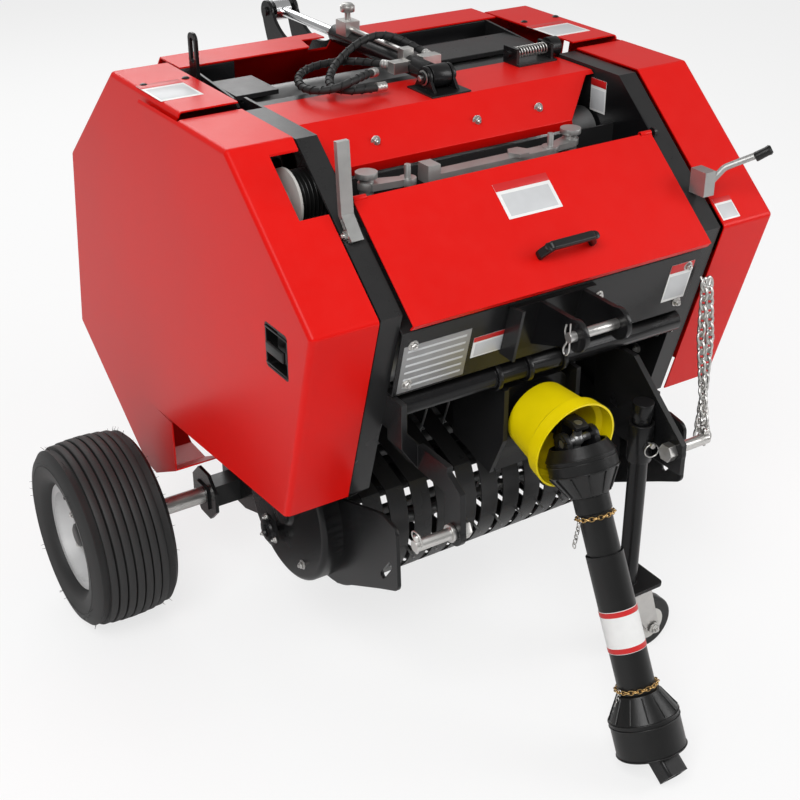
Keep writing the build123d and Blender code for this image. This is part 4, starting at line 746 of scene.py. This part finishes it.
class AddSafetyChain(TrimStep):
    """Hang the two strands of the safety chain from their hook"""

    bl_idname = "baler.add_safety_chain"
    bl_label = "Safety chain"

    # from one link's middle to the next, in metres
    pitch = 0.0176

    def build(self, trim):
        strands = (
            ((350.0, -369.0, 792.0), (334.0, -390.0, 690.0),
             (322.0, -420.0, 600.0), (300.0, -462.0, 527.0)),
            ((362.0, -369.0, 792.0), (352.0, -396.0, 690.0),
             (345.0, -404.0, 580.0), (343.0, -400.0, 476.0)),
        )
        for index, knots in enumerate(strands):
            link = chain_link(0.0078, trim.chain_wire, 1.5, 20, 8)
            spots = self.along([mm(*knot) for knot in knots])
            places = [facing(point, way.cross(Y if turn % 2 else X), way)
                      for turn, (point, way) in enumerate(spots)]
            fit(copies(link, places), f"safety_chain_{index + 1}", "frame", "zinc")
        hook = wire_form([mm(*point) for point in (
            (346.0, -360.0, 806.0), (345.0, -368.0, 800.0), (348.0, -371.0, 790.0), (356.0, -371.0, 785.0),
            (364.0, -370.0, 790.0), (366.0, -366.0, 800.0),
        )], 0.003)
        fit(hook, "chain_hook", "frame", "zinc")

    def along(self, knots):
        """Points at an even pitch along the strand, with the way it runs."""
        spots = []
        left_over = 0.0
        for first, second in zip(knots, knots[1:]):
            way = (second - first).normalized()
            run = (second - first).length
            distance = left_over
            while distance < run:
                spots.append((first + way * distance, way))
                distance += self.pitch
            left_over = distance - run
        return spots


class AddSpring(TrimStep):
    """Wind the latch rod's spring"""

    bl_idname = "baler.add_spring"
    bl_label = "Latch spring"

    def build(self, trim):
        centre = mm(0.0, 104.0, 1153.0)
        turns, per_turn, radius = 11, 14, 0.0105
        first, last = 0.232, 0.308
        points = [
            centre + Vector((
                first + (last - first) * step / (turns * per_turn),
                radius * math.cos(2.0 * math.pi * step / per_turn),
                radius * math.sin(2.0 * math.pi * step / per_turn),
            ))
            for step in range(turns * per_turn + 1)
        ]
        fit(wire_form(points, 0.0016, 2), "latch_spring", "frame", "zinc")
        cap = lathe(((12.5, 0.0), (12.5, 3.0), (10.5, 4.0)), 24)
        caps = copies(cap, [facing(centre + X * 0.228, X), facing(centre + X * 0.312, -X)])
        fit(caps, "spring_seats", "frame", "zinc")


class AddHoses(TrimStep):
    """Lay the two hydraulic hoses with their spiral wrap and crimped ends"""

    bl_idname = "baler.add_hoses"
    bl_label = "Hoses"

    diameter = 0.014
    # name, and route in mm from the valve end to the cylinder end
    routes = (
        ("hose_1", (
            (45.0, 130.0, 1166.0), (42.0, 182.0, 1176.0), (2.0, 226.0, 1199.0), (-60.0, 226.0, 1193.0),
            (-140.0, 196.0, 1160.0), (-197.7, 114.0, 1151.0), (-193.6, 79.0, 1150.0),
            (-167.5, 56.0, 1150.0), (-105.0, 57.5, 1149.0))),
        ("hose_2", (
            (-42.0, 140.0, 1160.0), (-62.0, 196.0, 1158.0), (-110.0, 238.0, 1156.0),
            (-175.0, 232.0, 1154.0), (-222.0, 190.0, 1152.0), (-246.0, 130.0, 1151.0),
            (-240.0, 86.0, 1153.0), (-214.0, 60.0, 1160.0), (-176.0, 56.5, 1170.0),
            (-130.0, 84.0, 1170.0), (-96.0, 110.0, 1162.0))),
    )

    def build(self, trim):
        for name, route in self.routes:
            hose = curve_along(name, [mm(*point) for point in route], 12)
            line = bpy.data.meshes.new_from_object(hose)
            centre = [vertex.co.copy() for vertex in line.vertices]
            bpy.data.meshes.remove(line)
            thicken(hose, self.diameter / 2.0, 5)
            fit(hose, f"{name}_tube", "barrel", "rubber", (name,))
            pieces = [self.crimps(name, centre), self.wrap(name, centre)]

    def run(self, points):
        """The length of the line through the points."""
        return sum((second - first).length for first, second in zip(points, points[1:]))

    def crimps(self, name, centre):
        """Crimped sleeves on both ends."""
        r = self.diameter / 2.0
        sleeve = turned(((r + 0.0014, 0.0), (r + 0.0022, 0.001), (r + 0.0022, 0.006), (r + 0.0012, 0.007),
                         (r + 0.0022, 0.008), (r + 0.0022, 0.013), (r + 0.0012, 0.014),
                         (r + 0.0022, 0.015), (r + 0.0022, 0.020), (r + 0.0006, 0.0212)), 32)
        places = [facing(centre[0], centre[2] - centre[0]), facing(centre[-1], centre[-3] - centre[-1])]
        return fit(copies(sleeve, places), f"{name}_crimps", "barrel", "zinc")

    def wrap(self, name, centre):
        """A spiral of round wire wound round the hose between its ends."""
        turns_per_metre, around = 52.0, 12
        total = self.run(centre)
        lead = 0.032
        steps = int((total - 2.0 * lead) * turns_per_metre * around)
        points = []
        for step in range(steps + 1):
            spot, way = self.at(centre, lead + (total - 2.0 * lead) * step / steps)
            side = way.cross(Z).normalized()
            lift = side.cross(way).normalized()
            angle = 2.0 * math.pi * step / around
            spoke = side * math.cos(angle) + lift * math.sin(angle)
            points.append(spot + spoke * (self.diameter / 2.0 + 0.0004))
        return fit(wire_form(points, 0.0013, 1), f"{name}_wrap", "barrel", "plastic")

    def at(self, points, distance):
        """The point that far along the line, and the way the line runs there."""
        for first, second in zip(points, points[1:]):
            run = (second - first).length
            if distance <= run:
                way = (second - first) / run
                return first + way * distance, way
            distance -= run
        return points[-1], (points[-1] - points[-2]).normalized()


class TrimWheels(TrimStep):
    """Give the tyres their ribbed tread and hairs, and the rims their hubs, nuts and valves"""

    bl_idname = "baler.trim_wheels"
    bl_label = "Wheels"

    hairs = 90
    hair_seed = 11
    # the wheel nuts' and the valve's distance from the axle, in metres
    nut_circle = 0.058
    valve_circle = 0.084

    def build(self, trim):
        for side, side_name in ((-1.0, "left"), (1.0, "right")):
            low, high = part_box(f"tyre_{side_name}")
            half_width, radius = (high.x - low.x) / 2.0, (high.z - low.z) / 2.0
            body = f"wheel_{side_name}"
            place = facing((low + high) / 2.0, X * side, Z)
            tyre = settle(self.tyre(trim, half_width, radius), place)
            fit(tyre, f"tyre_{side_name}_ribbed", body, "tyre", (f"tyre_{side_name}",))
            self.hub(side_name, body, place)
            self.whiskers(side_name, body, place, half_width, radius)

    def whiskers(self, side_name, body, place, half_width, radius):
        """The thin rubber hairs that the mould leaves on a new tyre."""
        dice = random.Random(self.hair_seed)
        hair = lathe(((0.55, -2.0), (0.4, 4.0), (0.25, 8.5)), 6)
        places = []
        for count in range(self.hairs):
            angle = math.tau * dice.random()
            spoke = Vector((math.cos(angle), math.sin(angle), 0.0))
            side = dice.choice((-1.0, 1.0))
            if count % 2:
                root = spoke * radius * 0.965 + Z * side * half_width * 0.80
                way = spoke + Z * side * 0.6
            else:
                root = spoke * radius * 0.84 + Z * side * half_width * 0.985
                way = spoke * 0.5 + Z * side
            spot = place @ facing(root, way + Vector((dice.random() - 0.5, dice.random() - 0.5, 0.0)) * 0.5)
            if spot.translation.z > 0.03:
                places.append(spot)
        fit(copies(hair, places), f"tyre_{side_name}_whiskers", body, "tyre")

    def tyre(self, trim, half_width, radius):
        """The tyre's whole section turned about its axle, with a groove between every two ribs."""
        ribs = trim.tread_ribs
        tread_half = half_width * 0.70
        pitch = 2.0 * tread_half / ribs
        bead_radius = radius * 0.586
        # half of the outer flank and half of the inner wall, as (radius, share of the half width)
        flank = [
            (bead_radius, 0.74), (bead_radius * 1.05, 0.86), (bead_radius * 1.16, 0.955),
            (radius * 0.80, 1.0), (radius * 0.81, 0.985), (radius * 0.82, 1.0),
            (radius * 0.90, 0.965), (radius * 0.955, 0.86),
        ]
        wall = [(bead_radius * 0.985, 0.66), (bead_radius * 1.08, 0.60), (radius * 0.88, 0.50)]
        section = [(reach, share * -half_width) for reach, share in flank]
        for rib in range(ribs):
            start = -tread_half + rib * pitch
            crown = radius - 0.006 * ((2.0 * (rib + 0.5) / ribs - 1.0) ** 2)
            section += [
                (crown - trim.groove_depth, start + pitch * 0.02), (crown - 0.0008, start + pitch * 0.10),
                (crown, start + pitch * 0.18), (crown, start + pitch * 0.82),
                (crown - 0.0008, start + pitch * 0.90), (crown - trim.groove_depth, start + pitch * 0.98),
            ]
        section += [(reach, share * half_width) for reach, share in flank[::-1] + wall]
        section += [(reach, share * -half_width) for reach, share in wall[::-1]]
        return turned(section, 96, closed=True)

    def hub(self, side_name, body, place):
        """Wheel nuts on their studs, the axle nut's dust cap and the valve."""
        face = self.face_at(side_name, place, self.nut_circle)
        stud = Matrix.Translation((self.nut_circle, 0.0, face))
        nuts = copies(hexagon(0.017, 0.009), [
            place @ Matrix.Rotation(math.tau * turn / 5.0, 4, "Z") @ stud for turn in range(5)])
        fit(nuts, f"wheel_nuts_{side_name}", body, "zinc")
        top = self.face_at(side_name, place, 0.0)
        cap = turned(((0.026, top - 0.004), (0.0268, top), (0.0255, top + 0.010), (0.020, top + 0.0135),
                      (0.006, top + 0.0145)), 40)
        fit(settle(cap, place), f"dust_cap_{side_name}", body, "plastic")
        plate = turned(((0.046, face - 0.001), (0.046, face + 0.0035), (0.042, face + 0.0050),
                        (0.033, face + 0.0055)), 48)
        fit(settle(plate, place), f"hub_plate_{side_name}", body, "black")
        foot = self.face_at(side_name, place, self.valve_circle)
        valve = lathe(((5.5, -2.0), (6.0, 4.0), (4.0, 8.0), (4.0, 22.0), (3.2, 24.0)), 20)
        aside = Matrix.Rotation(math.radians(40.0), 4, "Z")
        settle(valve, place @ aside @ Matrix.Translation((self.valve_circle, 0.0, foot)))
        fit(valve, f"valve_{side_name}", body, "plastic")

    def face_at(self, side_name, place, radius):
        """How far outboard of the tyre's middle the rim or axle stands at that radius."""
        outward = place.to_3x3() @ Z
        # tried on the valve's side of the hub, 40 degrees round, from 0.2 m outboard
        start = place @ Vector((radius * 0.766, radius * 0.643, 0.20))
        reaches = []
        for name in (f"rim_{side_name}", "stub_axles"):
            hit, where, _, _ = NODES[name].ray_cast(start, -outward, distance=0.35)
            if hit:
                reaches.append((where - place.translation).dot(outward))
        return max(reaches)


class TrimShaft(TrimStep):
    """Give the shaft guards their ribs, rings, chains and label band"""

    bl_idname = "baler.trim_shaft"
    bl_label = "Drive shaft"

    # the upper joint's middle (mm) and the way the shaft runs down from it
    joint = (0.0, -431.0, 590.0)
    way = (0.0, -0.4493, -0.8934)
    # from one small link's middle to the next, in metres
    link_pitch = 0.0086

    def build(self, trim):
        start, way = mm(*self.joint), Vector(self.way).normalized()

        def at(distance, towards=1.0):
            """The place on the shaft that far, in mm, from the upper joint."""
            return facing(start + way * distance * 0.001, way * towards)

        for name, body, radius, wire, distances in (
            ("upper_bell_ribs", "shaft_top", 0.0662, 0.0012, (30.0, 38.0, 58.0)),
            ("lower_bell_ribs", "shaft_bottom", 0.0672, 0.0016, (537.0, 546.0, 605.5)),
        ):
            hoops = copies(ring(radius, wire, 72), [at(distance) for distance in distances])
            fit(hoops, name, body, "plastic")
        self.vanes("upper_bell_vanes", "shaft_top", at(62.0), at(102.0))
        self.vanes("lower_bell_vanes", "shaft_bottom", at(533.0, -1.0), at(493.0, -1.0))
        for name, body, distance, radius in (
            ("upper_guard_ring", "shaft_top", 146.0, 0.0335),
            ("lower_guard_ring", "shaft_bottom", 480.0, 0.0375),
        ):
            self.link_ring(name, body, at(distance), radius + 0.0022)
            self.tether(name, body, at(distance), radius)
        tube = lathe(((36.2, 0.0), (36.6, 0.4), (36.6, 81.6), (36.2, 82.0)), 64)
        fit(settle(tube, at(325.0)), "guard_label", "shaft_bottom", "white_label")
        edge = lathe(((36.7, 0.0), (37.0, 0.4), (37.0, 9.6), (36.7, 10.0)), 64)
        fit(copies(edge, [at(326.0), at(396.0)]), "guard_label_edges", "shaft_bottom", "red_label")

    def vanes(self, name, body, wide, narrow):
        """Thin ribs down the slope of a bell."""
        count, wide_radius, narrow_radius = 12, 0.0665, 0.0420
        parts = []
        for turn in range(count):
            angle = math.tau * turn / count
            spoke = Vector((math.cos(angle), math.sin(angle), 0.0))
            first, second = wide @ (spoke * wide_radius), narrow @ (spoke * narrow_radius)
            parts.append(wire_form([first, (first + second) / 2.0, second], 0.0016, 1))
        fit(joined(*parts), name, body, "plastic")

    def link_ring(self, name, body, place, radius):
        """A band of small links round the guard, turned edge on and flat by turns."""
        link = chain_link(0.0040, 0.0011, 1.45)
        count = 2 * round(math.pi * radius / self.link_pitch)
        places = []
        for turn in range(count):
            angle = math.tau * turn / count
            spoke = Vector((math.cos(angle), math.sin(angle), 0.0))
            tangent = Vector((-math.sin(angle), math.cos(angle), 0.0))
            places.append(place @ facing(spoke * radius, Z if turn % 2 else spoke, tangent))
        fit(copies(link, places), name, body, "brass")

    def tether(self, name, body, place, radius):
        """A short chain hanging from the guard's ring."""
        link = chain_link(0.0042, 0.0010, 1.5)
        start = place @ Vector((-radius - 0.003, 0.0, 0.0))
        places = []
        for turn in range(7):
            point = start + Vector((-0.0016, 0.0, -self.link_pitch)) * turn
            places.append(facing(point, Y if turn % 2 else X, Z))
        fit(copies(link, places), f"{name}_chain", body, "zinc")


class TrimStand(TrimStep):
    """Add the jack's pin and holes, and the caster's tread, hub plates and axle nuts"""

    bl_idname = "baler.trim_stand"
    bl_label = "Jack and caster"

    def build(self, trim):
        hole = lathe(((4.2, -4.0), (4.2, -0.7), (3.6, -0.6), (3.4, -1.2)), 24)
        spots = [facing(mm(180.0, -428.0, height), -Y) for height in (318.0, 437.0)]
        fit(copies(hole, spots), "jack_pin_holes", "jack", "cast")
        clip = lathe(((2.8, -12.0), (3.4, -10.0), (3.4, 4.0), (6.2, 6.0), (6.2, 10.0), (4.5, 11.5)), 20)
        settle(clip, facing(mm(180.0, -437.0, 524.0), -Y))
        loop = settle(ring(0.014, 0.0014, 28), facing(mm(180.0, -443.0, 512.0), (0.35, 1.0, 0.0)))
        fit(joined(clip, loop), "jack_pin", "frame", "zinc")
        rib = ring(0.0586, 0.0011, 72)
        spots = [facing(mm(237.0, -409.0 + step, 60.0), Y) for step in (-10.5, -3.5, 3.5, 10.5)]
        fit(copies(rib, spots), "caster_tread", "caster", "tyre")
        disc = lathe(((36.0, 0.0), (37.0, 1.2), (34.0, 1.6), (20.0, 1.0), (19.0, 3.2), (13.0, 3.4)))
        sides = [facing(mm(237.0, -409.0 + side * 15.6, 60.0), Y * side) for side in (-1, 1)]
        fit(copies(disc, sides), "caster_hub_plates", "caster", "pale")
        nut = hexagon(0.017, 0.007)
        low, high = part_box("caster_fork")
        nuts = copies(nut, [
            facing(Vector((0.237, low.y, 0.060)), -Y), facing(Vector((0.237, high.y, 0.060)), Y)])
        fit(nuts, "caster_nuts", "fork", "zinc")


class TrimControls(TrimStep):
    """Add the grips, screws, knob and bolts of the controls, the twine drum and the pickup"""

    bl_idname = "baler.trim_controls"
    bl_label = "Controls"

    def build(self, trim):
        for side, side_name in ((-1.0, "left"), (1.0, "right")):
            low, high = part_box(f"cover_latch_{side_name}")
            middle = (low + high) / 2.0
            face = high.x if side > 0 else low.x
            grip = block((0.062, 0.020, 0.007), 0.0025, 3)
            place = facing(Vector((face + side * 0.0020, middle.y, middle.z)), X * side, Y)
            settle(grip, place)
            rim = copies(block((0.078, 0.0035, 0.003), 0.001), [
                place @ Matrix.Translation((0.0, offset, -0.002)) for offset in (-0.034, 0.034)])
            fit(joined(grip, rim), f"latch_grip_{side_name}", f"door_{side_name}", "plastic")
        low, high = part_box("lid_handle")
        out = Vector(LID_PANEL)
        cap = lathe(((8.5, 0.0), (8.5, 1.4), (6.2, 2.8), (2.0, 3.0)), 24)
        feet = []
        for x in (low.x + 0.012, high.x - 0.012):
            start = Vector((x, (low.y + high.y) / 2.0, (low.z + high.z) / 2.0)) + out * 0.06
            hit, where, _, _ = NODES["lid_handle"].ray_cast(start, -out, distance=0.12)
            if not hit:
                raise RuntimeError("the lid handle has no foot under a screw")
            feet.append(facing(where, out))
        fit(copies(cap, feet), "handle_screws", "twine_lid", "plastic")
        knob = lathe(((10.0, 0.0), (13.5, 3.0), (13.5, 11.0), (10.0, 14.5), (3.0, 15.5)), 32)
        low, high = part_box("hydraulic_fittings")
        settle(knob, facing(Vector((-0.004, 0.366, high.z - 0.010)), Z))
        fit(knob, "valve_knob", "barrel", "zinc")
        tip = self.lever_middle(0.44, 1.0)
        root = self.lever_middle(0.36, 0.44)
        grip = lathe(((8.5, 0.0), (9.5, 3.0), (8.8, 24.0), (9.8, 30.0), (7.0, 34.0)), 28)
        settle(grip, facing(tip - (tip - root).normalized() * 0.026, tip - root))
        fit(grip, "lever_grip", "frame", "plastic")
        hub = lathe(((16.0, 0.0), (16.5, 2.0), (12.5, 4.0), (12.5, 10.0), (9.5, 12.0)), 40)
        fit(settle(hub, facing(mm(-405.0, -93.0, 1033.0), -X)), "drum_hub", "frame", "zinc")
        flange = copies(ring(0.0475, 0.0018, 64), [
            facing(mm(x, -93.0, 1033.0), X) for x in (-350.0, -358.0, -366.0, -374.0, -382.0, -390.0)])
        fit(flange, "drum_grooves", "frame", "plastic")
        low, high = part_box("pickup_drive_cover")
        spot = facing(Vector((low.x, 0.034, 0.275)), -X)
        bearing = lathe(((34.0, -2.0), (34.0, 4.0), (26.0, 6.0), (24.0, 10.0), (14.0, 11.0), (12.0, 7.0)))
        fit(settle(bearing, spot), "pickup_bearing", "frame", "black")
        nut = hexagon(0.010, 0.005)
        outward = Matrix.Translation((0.029, 0.0, 0.004))
        places = [
            spot @ Matrix.Rotation(math.tau * turn / 3.0 + 0.5, 4, "Z") @ outward for turn in range(3)]
        fit(copies(nut, places), "bearing_nuts", "frame", "zinc")
        pivot = hexagon(0.013, 0.006)
        fit(settle(pivot, facing(mm(-374.0, -246.0, 1012.0), -X)), "twine_lever_bolt", "frame", "zinc")

    def lever_middle(self, first, last):
        """The middle of the latch lever's stretch between two places across the machine."""
        corners = [vertex.co for vertex in NODES["side_levers"].data.vertices]
        stretch = [corner for corner in corners if first < corner.x < last]
        return sum(stretch, Vector()) / len(stretch)


class BuildStudio(bpy.types.Operator):
    """Set the pale floor, the soft lights and the camera"""

    bl_idname = "baler.build_studio"
    bl_label = "Build studio"

    def execute(self, context):
        studio = context.scene.baler_studio
        bpy.ops.object.select_all(action="DESELECT")
        bpy.ops.mesh.primitive_plane_add(size=60.0, location=(0.0, 0.0, 0.0))
        floor = context.object
        floor.name = "studio_floor"
        floor.data.materials.append(self.floor_finish(studio.floor_glow))

        self.soft_box("key_light", (-2.6, -2.4, 4.2), (0.0, 0.0, 0.6), 2.6, studio.key_power)
        self.soft_box("fill_light", (3.4, -2.6, 2.6), (0.0, 0.0, 0.6), 2.2, studio.fill_power)
        self.soft_box("back_light", (0.6, 4.2, 3.4), (0.0, 0.0, 0.8), 2.6, studio.fill_power)
        self.surround(context.scene, studio.sky)
        self.place_camera(context.scene, studio.lens)
        context.scene.view_settings.view_transform = "Standard"
        return {"FINISHED"}

    def place_camera(self, scene, lens):
        """Stand the camera above the left front corner, looking down at the machine."""
        camera = bpy.data.objects.new("camera", bpy.data.cameras.new("camera"))
        scene.collection.objects.link(camera)
        forward = Vector((0.4768, 0.7381, -0.4774))
        right = forward.cross(Vector((0.2590, 0.4010, 0.8787)))
        camera.matrix_world = facing(Vector((-1.462, -2.123, 1.895)), -forward, right)
        camera.data.lens = lens
        camera.data.sensor_width = 36.0
        camera.data.shift_x = -0.011
        camera.data.shift_y = -0.012
        camera.data.clip_end = 100.0
        scene.camera = camera

    def soft_box(self, name, spot, aim, size, power):
        """A square soft lamp at a spot, aimed at a point."""
        lamp = bpy.data.lights.new(name, "AREA")
        lamp.shape = "SQUARE"
        lamp.size = size
        lamp.energy = power
        box = bpy.data.objects.new(name, lamp)
        bpy.context.scene.collection.objects.link(box)
        turn = (Vector(aim) - Vector(spot)).to_track_quat("-Z", "Y")
        box.matrix_world = Matrix.Translation(spot) @ turn.to_matrix().to_4x4()

    def floor_finish(self, glow):
        """A pale floor that keeps the shadow and stays near white to the camera."""
        f = Finish("studio_floor")
        f.set(Base_Color=(0.90, 0.90, 0.90), Roughness=0.8, Specular_IOR_Level=0.1)
        light = f.add("ShaderNodeEmission", {}, Color=WHITE, Strength=1.0)
        ray = f.add("ShaderNodeLightPath", {}, out="Is Camera Ray")
        mix = f.add("ShaderNodeMixShader", {}, ray * glow, Wire(f, f.shader.outputs[0]), light)
        f.fill(f.tree.nodes["Material Output"].inputs["Surface"], mix)
        return f.material

    def surround(self, scene, strength):
        """Even white light from all round, seen at full strength by the camera itself."""
        world = bpy.data.worlds.new("studio_surround")
        scene.world = world
        world.use_nodes = True
        sky = Graph(world.node_tree)
        sky.tree.nodes.clear()
        ray = sky.add("ShaderNodeLightPath", {}, out="Is Camera Ray")
        light = sky.add("ShaderNodeBackground", {}, Color=WHITE, Strength=strength)
        backdrop = sky.add("ShaderNodeBackground", {}, Color=WHITE, Strength=1.0)
        mix = sky.add("ShaderNodeMixShader", {}, ray, light, backdrop)
        sky.fill(sky.tree.nodes.new("ShaderNodeOutputWorld").inputs["Surface"], mix)


class BalerPanel(bpy.types.Panel):
    """Lists the baler's settings and steps"""

    bl_idname = "VIEW3D_PT_baler"
    bl_label = "Baler"
    bl_space_type = "VIEW_3D"
    bl_region_type = "UI"
    bl_category = "Baler"

    def draw(self, context):
        scene = context.scene
        for group in (scene.baler_paints, scene.baler_trim, scene.baler_studio):
            for name in group.bl_rna.properties.keys():
                if name not in {"rna_type", "name"}:
                    self.layout.prop(group, name)
        for step in STEPS:
            self.layout.operator(step.bl_idname)


STEPS = (
    PaintMachine, AddLabels, AddBolts, AddPins, AddSafetyChain, AddSpring, AddHoses, TrimWheels,
    TrimShaft, TrimStand, TrimControls, BuildStudio,
)
GROUPS = (BalerPaints, TrimSizes, StudioSettings)


def register():
    for cls in (*GROUPS, *STEPS, BalerPanel):
        bpy.utils.register_class(cls)
    bpy.types.Scene.baler_paints = PointerProperty(type=BalerPaints)
    bpy.types.Scene.baler_trim = PointerProperty(type=TrimSizes)
    bpy.types.Scene.baler_studio = PointerProperty(type=StudioSettings)


def unregister():
    del bpy.types.Scene.baler_studio
    del bpy.types.Scene.baler_trim
    del bpy.types.Scene.baler_paints
    for cls in reversed((*GROUPS, *STEPS, BalerPanel)):
        bpy.utils.unregister_class(cls)


def main():
    register()
    for step in STEPS:
        group, name = step.bl_idname.split(".")
        getattr(getattr(bpy.ops, group), name)()


if __name__ == "__main__":
    main()
